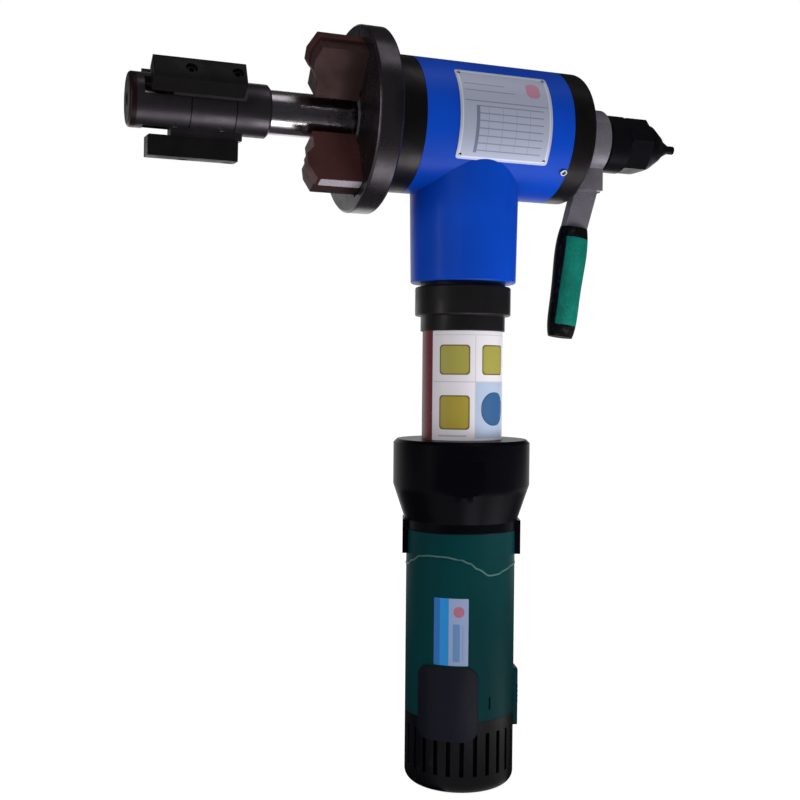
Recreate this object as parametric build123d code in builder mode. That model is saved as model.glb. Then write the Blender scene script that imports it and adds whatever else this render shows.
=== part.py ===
"""Pipe beveling machine with an expanding mandrel, a ratchet feed and a hand-held motor.

Frame: millimetres, +Z up. The origin is the middle of the clamping jaws on the spindle axis.
+X runs along the spindle from the jaws to the draw nut. The motor hangs down from the gear housing.
"""
from build123d import *
from math import cos, pi, radians, sin
import os

os.makedirs("parts", exist_ok=True)

# Driving dimensions along the spindle
neck_x = 199.0
barrel_radius = 48.0
barrel_front_reach = 48.6
barrel_rear_reach = 64.9
front_ring_length = 21.4
rear_ring_length = 19.0
disc_radius = 64.5
disc_thickness = 17.6
disc_gap = 0.8
shaft_radius = 15.0
head_radius = 18.0
jaw_reach = 36.6
jaw_length = 60.0

# Driving dimensions along the motor, down from the spindle axis
neck_length = 111.6
neck_top_radius = 40.4
neck_bottom_radius = 38.5
neck_ring_height = 3.0
coupling_nut_height = 21.0
coupling_nut_radius = 35.0
coupling_skirt_height = 11.1
tube_radius = 29.3
tube_length = 78.6
gearcase_radius = 50.0
gearcase_foot_radius = 41.4
gearcase_body_height = 32.7
gearcase_taper_height = 25.6
collar_height = 24.4
motor_radius = 39.9
motor_shell_height = 115.0
rear_cap_height = 52.3

# Fits shared by all pieces
running_gap = 0.05
seat_gap = 0.02
side_gap = 0.3
overrun = 2.0
small_chamfer = 0.8
edge_chamfer = 1.5

# Places along the spindle that several pieces share
barrel_front_x = neck_x - barrel_front_reach
barrel_rear_x = neck_x + barrel_rear_reach
front_ring_x = barrel_front_x - front_ring_length
rear_ring_end_x = barrel_rear_x + rear_ring_length
disc_rear_x = front_ring_x - disc_gap
disc_front_x = disc_rear_x - disc_thickness

# Places down the motor that several pieces share
neck_bottom_z = -neck_length
neck_ring_bottom_z = neck_bottom_z - neck_ring_height
coupling_nut_bottom_z = neck_ring_bottom_z - coupling_nut_height
skirt_bottom_z = coupling_nut_bottom_z - coupling_skirt_height
tube_bottom_z = skirt_bottom_z - tube_length
gearcase_shoulder_z = tube_bottom_z - gearcase_body_height
gearcase_foot_z = gearcase_shoulder_z - gearcase_taper_height
collar_bottom_z = gearcase_foot_z - collar_height
shell_bottom_z = collar_bottom_z - motor_shell_height
motor_bottom_z = shell_bottom_z - rear_cap_height

# Directions round an axis, in degrees: from +Y towards +Z on the spindle, from +X towards +Y on the motor
tool_angles = (128.0, 248.0, 8.0)
jaw_angles = (155.0, 275.0, 35.0)
keyway_angle = 180.0
motor_direction = -90.0
motor_front_angle = 238.0
motor_side_angle = 345.0

# Planes and axes
motor_axis = Axis((neck_x, 0, 0), (0, 0, 1))
spindle_profile = Plane.XZ
motor_profile = Plane(origin=(neck_x, 0, 0), x_dir=(1, 0, 0), z_dir=(0, -1, 0))


def across_spindle(x):
    """A plane square to the spindle at x, with +Y to its right and +Z up."""
    return Plane(origin=(x, 0, 0), x_dir=(0, 1, 0), z_dir=(1, 0, 0))


def across_motor(z):
    """A plane square to the motor axis at z, centred on it."""
    return Plane(origin=(neck_x, 0, z), x_dir=(1, 0, 0), z_dir=(0, 0, 1))


def beside_spindle(angle):
    """The plane that holds the spindle axis and leans at an angle: local x runs along X, y outward."""
    return Plane(origin=(0, 0, 0), x_dir=(1, 0, 0), z_dir=(0, -sin(radians(angle)), cos(radians(angle))))


def facing_out(angle, x, radius):
    """A plane that faces away from the spindle axis at an angle, with its local x along X."""
    outward = (0, cos(radians(angle)), sin(radians(angle)))
    return Plane(origin=(x, radius * outward[1], radius * outward[2]), x_dir=(1, 0, 0), z_dir=outward)


def facing_motor(angle, z, radius):
    """A plane that faces away from the motor axis at an angle, with its local y along Z."""
    outward = (cos(radians(angle)), sin(radians(angle)), 0)
    tangent = (-outward[1], outward[0], 0)
    return Plane(origin=(neck_x + radius * outward[0], radius * outward[1], z), x_dir=tangent, z_dir=outward)


# A tooth's width at its root and at its tip, against its width at the pitch line, as shares of the pitch
root_widening_share = 0.16
tip_narrowing_share = 0.18


def toothed_outline(teeth, root, pitch, tip, width_share, first_angle=0.0):
    """The corners of a toothed wheel. Each tooth has a root, a pitch and a tip corner on each flank."""
    flank = (
        (root, width_share + root_widening_share),
        (pitch, width_share),
        (tip, width_share - tip_narrowing_share),
    )
    points = []
    for tooth in range(teeth):
        middle = radians(first_angle) + tooth * 2 * pi / teeth
        for side, corners in ((-1, flank), (1, flank[::-1])):
            for radius, share in corners:
                angle = middle + side * share * pi / teeth
                points.append((radius * cos(angle), radius * sin(angle)))
    return points


# Mandrel head and the ramps inside it
cap_thickness = 4.5
cap_rounding = 2.4
cap_spigot_length = 1.5
cap_socket_width = 8.0
head_front_x = -38.0
head_rear_x = 51.0
slot_half_length = 33.0
jaw_width = 13.0
wedge_radius = 12.2
wedge_front_gap = 1.2
ramp_count = 3
ramp_length = 20.0
ramp_slope = 0.22
ramp_top = 10.2
shaft_front_x = 42.0
drawbar_radius = 7.0
drawbar_spigot_radius = 4.0
wedge_front_x = head_front_x + cap_spigot_length + wedge_front_gap
wedge_rear_x = wedge_front_x + ramp_count * ramp_length


def mandrel_head_piece():
    with BuildPart() as mandrel_head:
        with BuildSketch(across_spindle(head_front_x)):
            Circle(head_radius)
        extrude(amount=head_rear_x - head_front_x)
        rear_edge = mandrel_head.edges().filter_by(GeomType.CIRCLE).sort_by(Axis.X)[-1]
        chamfer(rear_edge, length=edge_chamfer)
        with BuildSketch(across_spindle(head_front_x)):
            Circle(wedge_radius + running_gap)
        extrude(amount=shaft_front_x - head_front_x, mode=Mode.SUBTRACT)
        with BuildSketch(across_spindle(shaft_front_x)):
            Circle(shaft_radius + seat_gap)
        extrude(amount=head_rear_x - shaft_front_x, mode=Mode.SUBTRACT)
        slot_depth = head_radius + overrun
        for angle in jaw_angles:
            with BuildSketch(beside_spindle(angle)):
                with Locations((0, slot_depth / 2)):
                    Rectangle(2 * slot_half_length, slot_depth)
            extrude(amount=jaw_width / 2 + running_gap, both=True, mode=Mode.SUBTRACT)
    mandrel_head.part.label = "mandrel_head"
    export_step(mandrel_head.part, "parts/mandrel_head.step")


def mandrel_cap_piece():
    with BuildPart() as mandrel_cap:
        with BuildSketch(across_spindle(head_front_x)):
            Circle(head_radius)
        extrude(amount=-cap_thickness)
        front_edge = mandrel_cap.edges().filter_by(GeomType.CIRCLE).sort_by(Axis.X)[0]
        fillet(front_edge, radius=cap_rounding)
        with BuildSketch(across_spindle(head_front_x)):
            Circle(wedge_radius)
        extrude(amount=cap_spigot_length)
        with BuildSketch(across_spindle(head_front_x - cap_thickness)):
            RegularPolygon(cap_socket_width / 2, side_count=6, major_radius=False)
        extrude(amount=cap_thickness / 2, mode=Mode.SUBTRACT)
    mandrel_cap.part.label = "mandrel_cap"
    export_step(mandrel_cap.part, "parts/mandrel_cap.step")


# Mandrel shaft: its rear end stands out of the rear ring by the length of the feed nut and ratchet
keyway_width = 6.0
keyway_depth = 3.5
keyway_front_x = 71.0
shaft_rear_reach = 29.1
shaft_rear_x = rear_ring_end_x + shaft_rear_reach


def mandrel_shaft_piece():
    with BuildPart() as mandrel_shaft:
        with BuildSketch(across_spindle(shaft_front_x)):
            Circle(shaft_radius)
            Circle(drawbar_radius + running_gap, mode=Mode.SUBTRACT)
        extrude(amount=shaft_rear_x - shaft_front_x)
        with BuildSketch(facing_out(keyway_angle, keyway_front_x, shaft_radius - keyway_depth)):
            with Locations(((shaft_rear_x - keyway_front_x + overrun) / 2, 0)):
                Rectangle(shaft_rear_x - keyway_front_x + overrun, keyway_width)
        extrude(amount=keyway_depth + overrun, mode=Mode.SUBTRACT)
    mandrel_shaft.part.label = "mandrel_shaft"
    export_step(mandrel_shaft.part, "parts/mandrel_shaft.step")


def ramp_points(first_x, last_x, lift, step_gap):
    """The saw-toothed line of the ramps between two places, raised by lift, each ramp ending a gap early."""
    points = []
    for ramp in range(ramp_count):
        start = wedge_front_x + ramp * ramp_length
        end = start + ramp_length - step_gap
        if start >= first_x and end <= last_x:
            points.append((start, ramp_top + lift))
            points.append((end, ramp_top + lift - ramp_slope * (end - start)))
    return points


def wedge_piece():
    with BuildPart() as wedge:
        with BuildSketch(across_spindle(wedge_front_x)):
            Circle(wedge_radius)
            Circle(drawbar_spigot_radius + seat_gap, mode=Mode.SUBTRACT)
        extrude(amount=wedge_rear_x - wedge_front_x)
        ramps = ramp_points(wedge_front_x, wedge_rear_x, 0, 0)
        above = wedge_radius + overrun
        for angle in jaw_angles:
            with BuildSketch(beside_spindle(angle)):
                Polygon(*ramps, (wedge_rear_x, above), (wedge_front_x, above), align=None)
            extrude(amount=jaw_width / 2 + running_gap, both=True, mode=Mode.SUBTRACT)
    wedge.part.label = "wedge"
    export_step(wedge.part, "parts/wedge.step")


# Drawbar: its front spigot carries the wedge and its pointed end stands out of the draw nut
drawbar_rear_reach = 67.3
drawbar_point_length = 13.3
drawbar_point_x = shaft_rear_x + drawbar_rear_reach
drawbar_shoulder_x = drawbar_point_x - drawbar_point_length
drawbar_point_radius = 3.2
drawbar_tip_radius = 1.0


def drawbar_piece():
    spigot_front_x = wedge_front_x + ramp_length / 2
    with BuildPart() as drawbar:
        with BuildSketch(spindle_profile):
            Polygon(
                (spigot_front_x, 0),
                (spigot_front_x, drawbar_spigot_radius),
                (wedge_rear_x, drawbar_spigot_radius),
                (wedge_rear_x, drawbar_radius),
                (drawbar_shoulder_x, drawbar_radius),
                (drawbar_shoulder_x + drawbar_radius, drawbar_point_radius),
                (drawbar_point_x - drawbar_tip_radius, drawbar_point_radius),
                (drawbar_point_x, drawbar_tip_radius),
                (drawbar_point_x, 0),
                align=None,
            )
        revolve(axis=Axis.X)
    drawbar.part.label = "drawbar"
    export_step(drawbar.part, "parts/drawbar.step")


# Draw nut
nut_neck_length = 17.0
nut_neck_radius = 21.5
nut_core_radius = 18.5
nut_hex_length = 19.0
nut_hex_radius = 22.0
nut_cone_length = 6.0
nut_cone_radius = 17.0
nut_end_length = 10.0
nut_end_radius = 9.5
draw_nut_x = shaft_rear_x + running_gap
nut_neck_end_x = shaft_rear_x + nut_neck_length
nut_hex_end_x = nut_neck_end_x + nut_hex_length
nut_cone_x = nut_hex_end_x + nut_cone_length
nut_end_x = nut_cone_x + nut_end_length


def draw_nut_piece():
    with BuildPart() as draw_nut:
        with BuildSketch(spindle_profile):
            Polygon(
                (draw_nut_x, 0),
                (draw_nut_x, nut_neck_radius - small_chamfer),
                (draw_nut_x + small_chamfer, nut_neck_radius),
                (nut_neck_end_x - small_chamfer, nut_neck_radius),
                (nut_neck_end_x, nut_neck_radius - small_chamfer),
                (nut_neck_end_x, nut_core_radius),
                (nut_hex_end_x, nut_core_radius),
                (nut_cone_x, nut_cone_radius),
                (nut_end_x - small_chamfer, nut_end_radius + small_chamfer),
                (nut_end_x, nut_end_radius),
                (nut_end_x, 0),
                align=None,
            )
        revolve(axis=Axis.X)
        with BuildSketch(across_spindle(nut_neck_end_x)):
            RegularPolygon(nut_hex_radius, side_count=6)
        extrude(amount=nut_hex_end_x - nut_neck_end_x)
        with BuildSketch(spindle_profile):
            Polygon(
                (draw_nut_x - overrun, 0),
                (draw_nut_x - overrun, nut_hex_radius + small_chamfer),
                (nut_hex_end_x - edge_chamfer, nut_hex_radius + small_chamfer),
                (nut_hex_end_x, nut_core_radius + edge_chamfer),
                (nut_end_x + overrun, nut_core_radius + edge_chamfer),
                (nut_end_x + overrun, 0),
                align=None,
            )
        revolve(axis=Axis.X, mode=Mode.INTERSECT)
        with BuildSketch(across_spindle(draw_nut_x)):
            Circle(drawbar_radius + running_gap)
        extrude(amount=nut_end_x - draw_nut_x, mode=Mode.SUBTRACT)
    draw_nut.part.label = "draw_nut"
    export_step(draw_nut.part, "parts/draw_nut.step")


# Jaws: a foot that rides on the ramps and a shoe screwed on top of it
foot_top = 22.0
shoe_width = 17.0
foot_lift = 0.06
screw_head_radius = 3.5
screw_head_height = 4.0
screw_shank_radius = 2.0
screw_reach = 9.0
screw_half_spacing = 15.0
foot_front_x = wedge_front_x + ramp_length + side_gap
foot_rear_x = slot_half_length - running_gap
shoe_screw_sink = 6.0


def jaw_screw_places():
    """Places of the two screws of a jaw, along X."""
    middle = (foot_front_x + foot_rear_x) / 2
    return (middle - screw_half_spacing, middle + screw_half_spacing)


def jaw_foot_pieces():
    ramps = ramp_points(foot_front_x - side_gap, wedge_rear_x, foot_lift, side_gap)
    for number, angle in enumerate(jaw_angles, start=1):
        with BuildPart() as jaw_foot:
            with BuildSketch(beside_spindle(angle)):
                Polygon(
                    (foot_front_x, foot_top),
                    (foot_front_x, ramps[0][1]),
                    *ramps[1:],
                    (ramps[-1][0], ramp_top + foot_lift),
                    (foot_rear_x, ramp_top + foot_lift),
                    (foot_rear_x, foot_top),
                    align=None,
                )
            extrude(amount=jaw_width / 2, both=True)
            for x in jaw_screw_places():
                with BuildSketch(facing_out(angle, x, foot_top)):
                    Circle(screw_shank_radius + seat_gap)
                extrude(amount=-foot_top, mode=Mode.SUBTRACT)
        jaw_foot.part.label = f"jaw_foot_{number}"
        export_step(jaw_foot.part, f"parts/jaw_foot_{number}.step")


def jaw_shoe_pieces():
    for number, angle in enumerate(jaw_angles, start=1):
        with BuildPart() as jaw_shoe:
            with BuildSketch(beside_spindle(angle)):
                with Locations((0, (foot_top + jaw_reach) / 2)):
                    Rectangle(jaw_length, jaw_reach - foot_top)
            extrude(amount=shoe_width / 2, both=True)
            corners = jaw_shoe.edges().filter_by(Axis((0, 0, 0), beside_spindle(angle).z_dir))
            chamfer(corners, length=small_chamfer)
            with BuildSketch(across_spindle(-jaw_length / 2 - overrun)):
                Circle(jaw_reach)
            extrude(amount=jaw_length + 2 * overrun, mode=Mode.INTERSECT)
            for x in jaw_screw_places():
                with BuildSketch(facing_out(angle, x, jaw_reach - shoe_screw_sink)):
                    Circle(screw_head_radius + side_gap)
                extrude(amount=shoe_screw_sink + overrun, mode=Mode.SUBTRACT)
                with BuildSketch(facing_out(angle, x, jaw_reach - shoe_screw_sink)):
                    Circle(screw_head_radius)
                extrude(amount=screw_head_height)
                with BuildSketch(facing_out(angle, x, foot_top)):
                    Circle(screw_shank_radius)
                extrude(amount=-screw_reach)
                with BuildSketch(facing_out(angle, x, jaw_reach - shoe_screw_sink + screw_head_height)):
                    RegularPolygon(screw_shank_radius, side_count=6)
                extrude(amount=-screw_shank_radius, mode=Mode.SUBTRACT)
        jaw_shoe.part.label = f"jaw_shoe_{number}"
        export_step(jaw_shoe.part, f"parts/jaw_shoe_{number}.step")


# Gear housing: a barrel round the spindle and a neck down to the motor
spindle_radius = 23.5
spindle_bore_radius = 19.0
bearing_radius = 36.0
bearing_width = 12.0
bearing_shoulder = 3.0
housing_bore_radius = 41.0
neck_socket_radius = 26.0
neck_socket_depth = 14.0
bush_radius = 14.0
rear_rounding = 4.0
ring_screw_radius = 2.0
ring_screw_count = 4
ring_screw_length = 34.0
ring_screw_circle_radius = 44.2
ring_screw_angle = 45.0


def gear_housing_piece():
    seat_depth = bearing_width + bearing_shoulder
    with BuildPart() as gear_housing:
        with BuildSketch(across_spindle(barrel_front_x)):
            Circle(barrel_radius)
        extrude(amount=barrel_rear_x - barrel_front_x)
        with BuildSketch(across_motor(neck_bottom_z)):
            Circle(neck_bottom_radius)
        with BuildSketch(across_motor(0)):
            Circle(neck_top_radius)
        loft(ruled=True)
        neck_edge = gear_housing.edges().filter_by(GeomType.CIRCLE).sort_by(Axis.Z)[0]
        chamfer(neck_edge, length=small_chamfer)
        with BuildSketch(across_spindle(barrel_front_x)):
            Circle(bearing_radius + seat_gap)
        extrude(amount=bearing_width, mode=Mode.SUBTRACT)
        with BuildSketch(across_spindle(barrel_front_x + bearing_width)):
            Circle(bearing_radius - bearing_shoulder)
        extrude(amount=bearing_shoulder, mode=Mode.SUBTRACT)
        with BuildSketch(across_spindle(barrel_front_x + seat_depth)):
            Circle(housing_bore_radius)
        extrude(amount=barrel_rear_x - barrel_front_x - seat_depth, mode=Mode.SUBTRACT)
        with BuildSketch(across_motor(neck_bottom_z)):
            Circle(neck_socket_radius + seat_gap)
        extrude(amount=neck_socket_depth, mode=Mode.SUBTRACT)
        with BuildSketch(across_motor(neck_bottom_z)):
            Circle(bush_radius + seat_gap)
        extrude(amount=-neck_bottom_z, mode=Mode.SUBTRACT)
        with BuildSketch(across_spindle(barrel_front_x)):
            with PolarLocations(ring_screw_circle_radius, ring_screw_count, start_angle=ring_screw_angle):
                Circle(ring_screw_radius + seat_gap)
        extrude(amount=ring_screw_length - front_ring_length, mode=Mode.SUBTRACT)
        with BuildSketch(across_spindle(barrel_rear_x)):
            with PolarLocations(ring_screw_circle_radius, ring_screw_count, start_angle=ring_screw_angle):
                Circle(ring_screw_radius + seat_gap)
        extrude(amount=rear_ring_length - rear_rounding - ring_screw_length, mode=Mode.SUBTRACT)
    gear_housing.part.label = "gear_housing"
    export_step(gear_housing.part, "parts/gear_housing.step")


# Front ring with the oil seal behind the cutter disc
flange_radius = 33.0
flange_thickness = 5.0
seal_radius = 31.0
seal_front_x = front_ring_x + flange_thickness + 2 * disc_gap
seal_width = 8.0


def front_ring_piece():
    with BuildPart() as front_ring:
        with BuildSketch(across_spindle(front_ring_x)):
            Circle(barrel_radius)
        extrude(amount=front_ring_length)
        with BuildSketch(across_spindle(front_ring_x)):
            Circle(flange_radius + disc_gap)
        extrude(amount=flange_thickness + disc_gap, mode=Mode.SUBTRACT)
        with BuildSketch(across_spindle(front_ring_x)):
            Circle(seal_radius + seat_gap)
        extrude(amount=front_ring_length, mode=Mode.SUBTRACT)
        with BuildSketch(across_spindle(front_ring_x)):
            with PolarLocations(ring_screw_circle_radius, ring_screw_count, start_angle=ring_screw_angle):
                Circle(ring_screw_radius + seat_gap)
        extrude(amount=front_ring_length, mode=Mode.SUBTRACT)
    front_ring.part.label = "front_ring"
    export_step(front_ring.part, "parts/front_ring.step")


def oil_seal_piece():
    with BuildPart() as oil_seal:
        with BuildSketch(across_spindle(seal_front_x)):
            Circle(seal_radius)
            Circle(spindle_radius + running_gap, mode=Mode.SUBTRACT)
        extrude(amount=seal_width)
    oil_seal.part.label = "oil_seal"
    export_step(oil_seal.part, "parts/oil_seal.step")


# Rear ring: closes the barrel and holds the rear bearing, the guide sleeve and the feed nut
rear_bearing_reach = 31.9
sleeve_flange_reach = 13.5
rear_bearing_x = barrel_rear_x - rear_bearing_reach
rear_spigot_length = 34.0
spindle_clear_radius = 31.5
spindle_space_depth = 12.0
sleeve_radius = 18.5
sleeve_flange_radius = 30.0
sleeve_flange_thickness = 4.0
sleeve_flange_x = rear_ring_end_x - sleeve_flange_reach
feed_collar_radius = 24.0
retainer_radius = 30.0
retainer_thickness = 3.0
retainer_x = rear_ring_end_x - retainer_thickness
feed_collar_x = sleeve_flange_x + sleeve_flange_thickness + side_gap


def rear_ring_piece():
    spindle_space_end_x = rear_bearing_x + bearing_width + spindle_space_depth
    with BuildPart() as rear_ring:
        with BuildSketch(across_spindle(barrel_rear_x)):
            Circle(barrel_radius)
        extrude(amount=rear_ring_length)
        rear_edge = rear_ring.edges().filter_by(GeomType.CIRCLE).sort_by(Axis.X)[-1]
        fillet(rear_edge, radius=rear_rounding)
        with BuildSketch(across_spindle(barrel_rear_x)):
            Circle(housing_bore_radius - seat_gap)
        extrude(amount=-rear_spigot_length)
        with BuildSketch(spindle_profile):
            Polygon(
                (barrel_rear_x - rear_spigot_length, 0),
                (barrel_rear_x - rear_spigot_length, bearing_radius + seat_gap),
                (rear_bearing_x + bearing_width, bearing_radius + seat_gap),
                (rear_bearing_x + bearing_width, spindle_clear_radius),
                (spindle_space_end_x, spindle_clear_radius),
                (spindle_space_end_x, sleeve_radius + seat_gap),
                (sleeve_flange_x, sleeve_radius + seat_gap),
                (sleeve_flange_x, sleeve_flange_radius + seat_gap),
                (sleeve_flange_x + sleeve_flange_thickness, sleeve_flange_radius + seat_gap),
                (sleeve_flange_x + sleeve_flange_thickness, feed_collar_radius + side_gap),
                (retainer_x, feed_collar_radius + side_gap),
                (retainer_x, retainer_radius + seat_gap),
                (rear_ring_end_x, retainer_radius + seat_gap),
                (rear_ring_end_x, 0),
                align=None,
            )
        revolve(axis=Axis.X, mode=Mode.SUBTRACT)
        with BuildSketch(across_spindle(barrel_rear_x)):
            with PolarLocations(ring_screw_circle_radius, ring_screw_count, start_angle=ring_screw_angle):
                Circle(ring_screw_radius + seat_gap)
        extrude(amount=rear_ring_length, mode=Mode.SUBTRACT)
    rear_ring.part.label = "rear_ring"
    export_step(rear_ring.part, "parts/rear_ring.step")


def ring_screw_pieces():
    rear_head_x = rear_ring_end_x - rear_rounding
    with BuildPart() as ring_screws:
        for head_x, run in ((front_ring_x, ring_screw_length), (rear_head_x, -ring_screw_length)):
            with BuildSketch(across_spindle(head_x)):
                with PolarLocations(ring_screw_circle_radius, ring_screw_count, start_angle=ring_screw_angle):
                    Circle(ring_screw_radius)
            extrude(amount=run)
    ring_screws.part.label = "ring_screws"
    export_step(ring_screws.part, "parts/ring_screws.step")


# Bearings of the spindle: an outer ring, an inner ring and rollers between them
race_inner_radius = 27.6
race_outer_radius = 31.6
roller_count = 18
roller_edge_gap = 1.5


def bearing_ring_pieces():
    with BuildPart() as bearing_outer_rings:
        for start_x in (barrel_front_x, rear_bearing_x):
            with BuildSketch(across_spindle(start_x)):
                Circle(bearing_radius)
                Circle(race_outer_radius, mode=Mode.SUBTRACT)
            extrude(amount=bearing_width)
    bearing_outer_rings.part.label = "bearing_outer_rings"
    export_step(bearing_outer_rings.part, "parts/bearing_outer_rings.step")
    with BuildPart() as bearing_inner_rings:
        for start_x in (barrel_front_x, rear_bearing_x):
            with BuildSketch(across_spindle(start_x)):
                Circle(race_inner_radius)
                Circle(spindle_radius + seat_gap, mode=Mode.SUBTRACT)
            extrude(amount=bearing_width)
    bearing_inner_rings.part.label = "bearing_inner_rings"
    export_step(bearing_inner_rings.part, "parts/bearing_inner_rings.step")


def bearing_roller_pieces():
    roller_circle = (race_inner_radius + race_outer_radius) / 2
    roller_radius = (race_outer_radius - race_inner_radius) / 2 - running_gap
    with BuildPart() as bearing_rollers:
        for start_x in (barrel_front_x, rear_bearing_x):
            with BuildSketch(across_spindle(start_x + roller_edge_gap)):
                with PolarLocations(roller_circle, roller_count):
                    Circle(roller_radius)
            extrude(amount=bearing_width - 2 * roller_edge_gap)
    bearing_rollers.part.label = "bearing_rollers"
    export_step(bearing_rollers.part, "parts/bearing_rollers.step")


# Bevel gears: both cones meet where the spindle axis crosses the motor axis
bevel_module = 2.0
crown_teeth = 36
pinion_teeth = 12
tooth_addendum = 1.5
tooth_dedendum = 1.9
bevel_width_share = 0.4
crown_radius = 37.4
crown_inner_share = 0.5
crown_outer_share = 1.15
crown_back_thickness = 6.0
crown_hub_radius = 30.0
gear_key_width = 6.0
gear_key_height = 3.0
pinion_inner_share = 0.76
pinion_outer_share = 1.02
crown_pitch_radius = crown_teeth * bevel_module / 2
pinion_pitch_radius = pinion_teeth * bevel_module / 2
crown_back_x = neck_x + pinion_pitch_radius * crown_outer_share
crown_rear_x = crown_back_x + crown_back_thickness
spindle_nut_width = 9.0
spindle_rear_x = rear_bearing_x + bearing_width + spindle_nut_width


def crown_gear_piece():
    cone_ratio = crown_pitch_radius / pinion_pitch_radius
    pitch_cone_length = (crown_pitch_radius ** 2 + pinion_pitch_radius ** 2) ** 0.5
    depth_ratio = pitch_cone_length / pinion_pitch_radius
    outline = toothed_outline(
        crown_teeth,
        crown_pitch_radius - tooth_dedendum * depth_ratio,
        crown_pitch_radius,
        crown_pitch_radius + tooth_addendum * depth_ratio,
        bevel_width_share,
        first_angle=motor_direction,
    )
    with BuildPart() as crown_gear:
        for share in (crown_inner_share, crown_outer_share):
            with BuildSketch(across_spindle(neck_x + pinion_pitch_radius * share)):
                Polygon(*[(y * share, z * share) for y, z in outline], align=None)
        loft(ruled=True)
        with BuildSketch(across_spindle(neck_x)):
            Circle(crown_radius)
        extrude(amount=pinion_pitch_radius * cone_ratio, mode=Mode.INTERSECT)
        with BuildSketch(across_spindle(crown_back_x)):
            Circle(crown_radius)
        extrude(amount=crown_back_thickness)
        with BuildSketch(across_spindle(crown_rear_x)):
            Circle(crown_hub_radius)
        extrude(amount=rear_bearing_x - crown_rear_x)
        with BuildSketch(across_spindle(neck_x)):
            Circle(spindle_radius + seat_gap)
        extrude(amount=rear_bearing_x - neck_x, mode=Mode.SUBTRACT)
        with BuildSketch(across_spindle(neck_x)):
            with Locations((0, spindle_radius)):
                Rectangle(gear_key_width + 2 * seat_gap, 2 * (gear_key_height + seat_gap))
        extrude(amount=rear_bearing_x - neck_x, mode=Mode.SUBTRACT)
    crown_gear.part.label = "crown_gear"
    export_step(crown_gear.part, "parts/crown_gear.step")


# Hollow spindle with the flange that carries the cutter disc
disc_screw_radius = 2.5
disc_screw_head_radius = 4.5
disc_screw_head_height = 4.0
disc_screw_circle_radius = 28.6
disc_screw_angles = (68.0, 188.0, 308.0)


def spindle_piece():
    with BuildPart() as spindle:
        with BuildSketch(across_spindle(disc_front_x)):
            Circle(spindle_radius)
        extrude(amount=spindle_rear_x - disc_front_x)
        with BuildSketch(across_spindle(disc_rear_x)):
            Circle(flange_radius)
        extrude(amount=flange_thickness)
        with BuildSketch(across_spindle(crown_back_x)):
            with Locations((0, spindle_radius)):
                Rectangle(gear_key_width, 2 * gear_key_height)
        extrude(amount=rear_bearing_x - crown_back_x)
        with BuildSketch(across_spindle(disc_front_x)):
            Circle(spindle_bore_radius)
        extrude(amount=spindle_rear_x - disc_front_x, mode=Mode.SUBTRACT)
        with BuildSketch(across_spindle(disc_rear_x)):
            for angle in disc_screw_angles:
                with PolarLocations(disc_screw_circle_radius, 1, start_angle=angle):
                    Circle(disc_screw_radius + seat_gap)
        extrude(amount=flange_thickness, mode=Mode.SUBTRACT)
    spindle.part.label = "spindle"
    export_step(spindle.part, "parts/spindle.step")


def spindle_nut_piece():
    nut_x = rear_bearing_x + bearing_width
    with BuildPart() as spindle_nut:
        with BuildSketch(across_spindle(nut_x)):
            Circle(crown_hub_radius)
            Circle(spindle_radius + seat_gap, mode=Mode.SUBTRACT)
            with PolarLocations(crown_hub_radius, 4):
                Rectangle(2 * edge_chamfer, 2 * edge_chamfer, mode=Mode.SUBTRACT)
        extrude(amount=spindle_rear_x - nut_x)
    spindle_nut.part.label = "spindle_nut"
    export_step(spindle_nut.part, "parts/spindle_nut.step")


# Cutter disc: slots inside its rim carry the tool bits and their clamp blocks
slot_width = 21.0
slot_root_radius = 26.0
tool_outer_radius = 56.0
tool_inner_radius = 19.0
bit_thickness = 9.0
bit_reach = 55.0
short_bit_reach = 42.0
bit_nose_length = 11.0
bit_notch_radius = 31.0
bit_notch_depth = 5.5
clamp_setback = 1.5
clamp_lip_drop = 2.0
bit_reaches = (bit_reach, bit_reach, short_bit_reach)


def cutter_disc_piece():
    disc_middle_x = (disc_front_x + disc_rear_x) / 2
    with BuildPart() as cutter_disc:
        with BuildSketch(across_spindle(disc_front_x)):
            Circle(disc_radius)
        extrude(amount=disc_thickness)
        rims = cutter_disc.edges().filter_by(GeomType.CIRCLE)
        chamfer(rims, length=edge_chamfer)
        with BuildSketch(across_spindle(disc_front_x)):
            Circle(spindle_radius + seat_gap)
        extrude(amount=disc_thickness, mode=Mode.SUBTRACT)
        for angle in tool_angles:
            with BuildSketch(beside_spindle(angle)):
                with Locations((disc_middle_x, (slot_root_radius + tool_outer_radius) / 2)):
                    Rectangle(disc_thickness + 2 * overrun, tool_outer_radius - slot_root_radius)
            extrude(amount=slot_width / 2 + seat_gap, both=True, mode=Mode.SUBTRACT)
        for angle in disc_screw_angles:
            with BuildSketch(across_spindle(disc_front_x)):
                with PolarLocations(disc_screw_circle_radius, 1, start_angle=angle):
                    Circle(disc_screw_radius + seat_gap)
            extrude(amount=disc_thickness, mode=Mode.SUBTRACT)
            with BuildSketch(across_spindle(disc_front_x)):
                with PolarLocations(disc_screw_circle_radius, 1, start_angle=angle):
                    Circle(disc_screw_head_radius + seat_gap)
            extrude(amount=disc_screw_head_height + small_chamfer, mode=Mode.SUBTRACT)
    cutter_disc.part.label = "cutter_disc"
    export_step(cutter_disc.part, "parts/cutter_disc.step")


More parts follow.
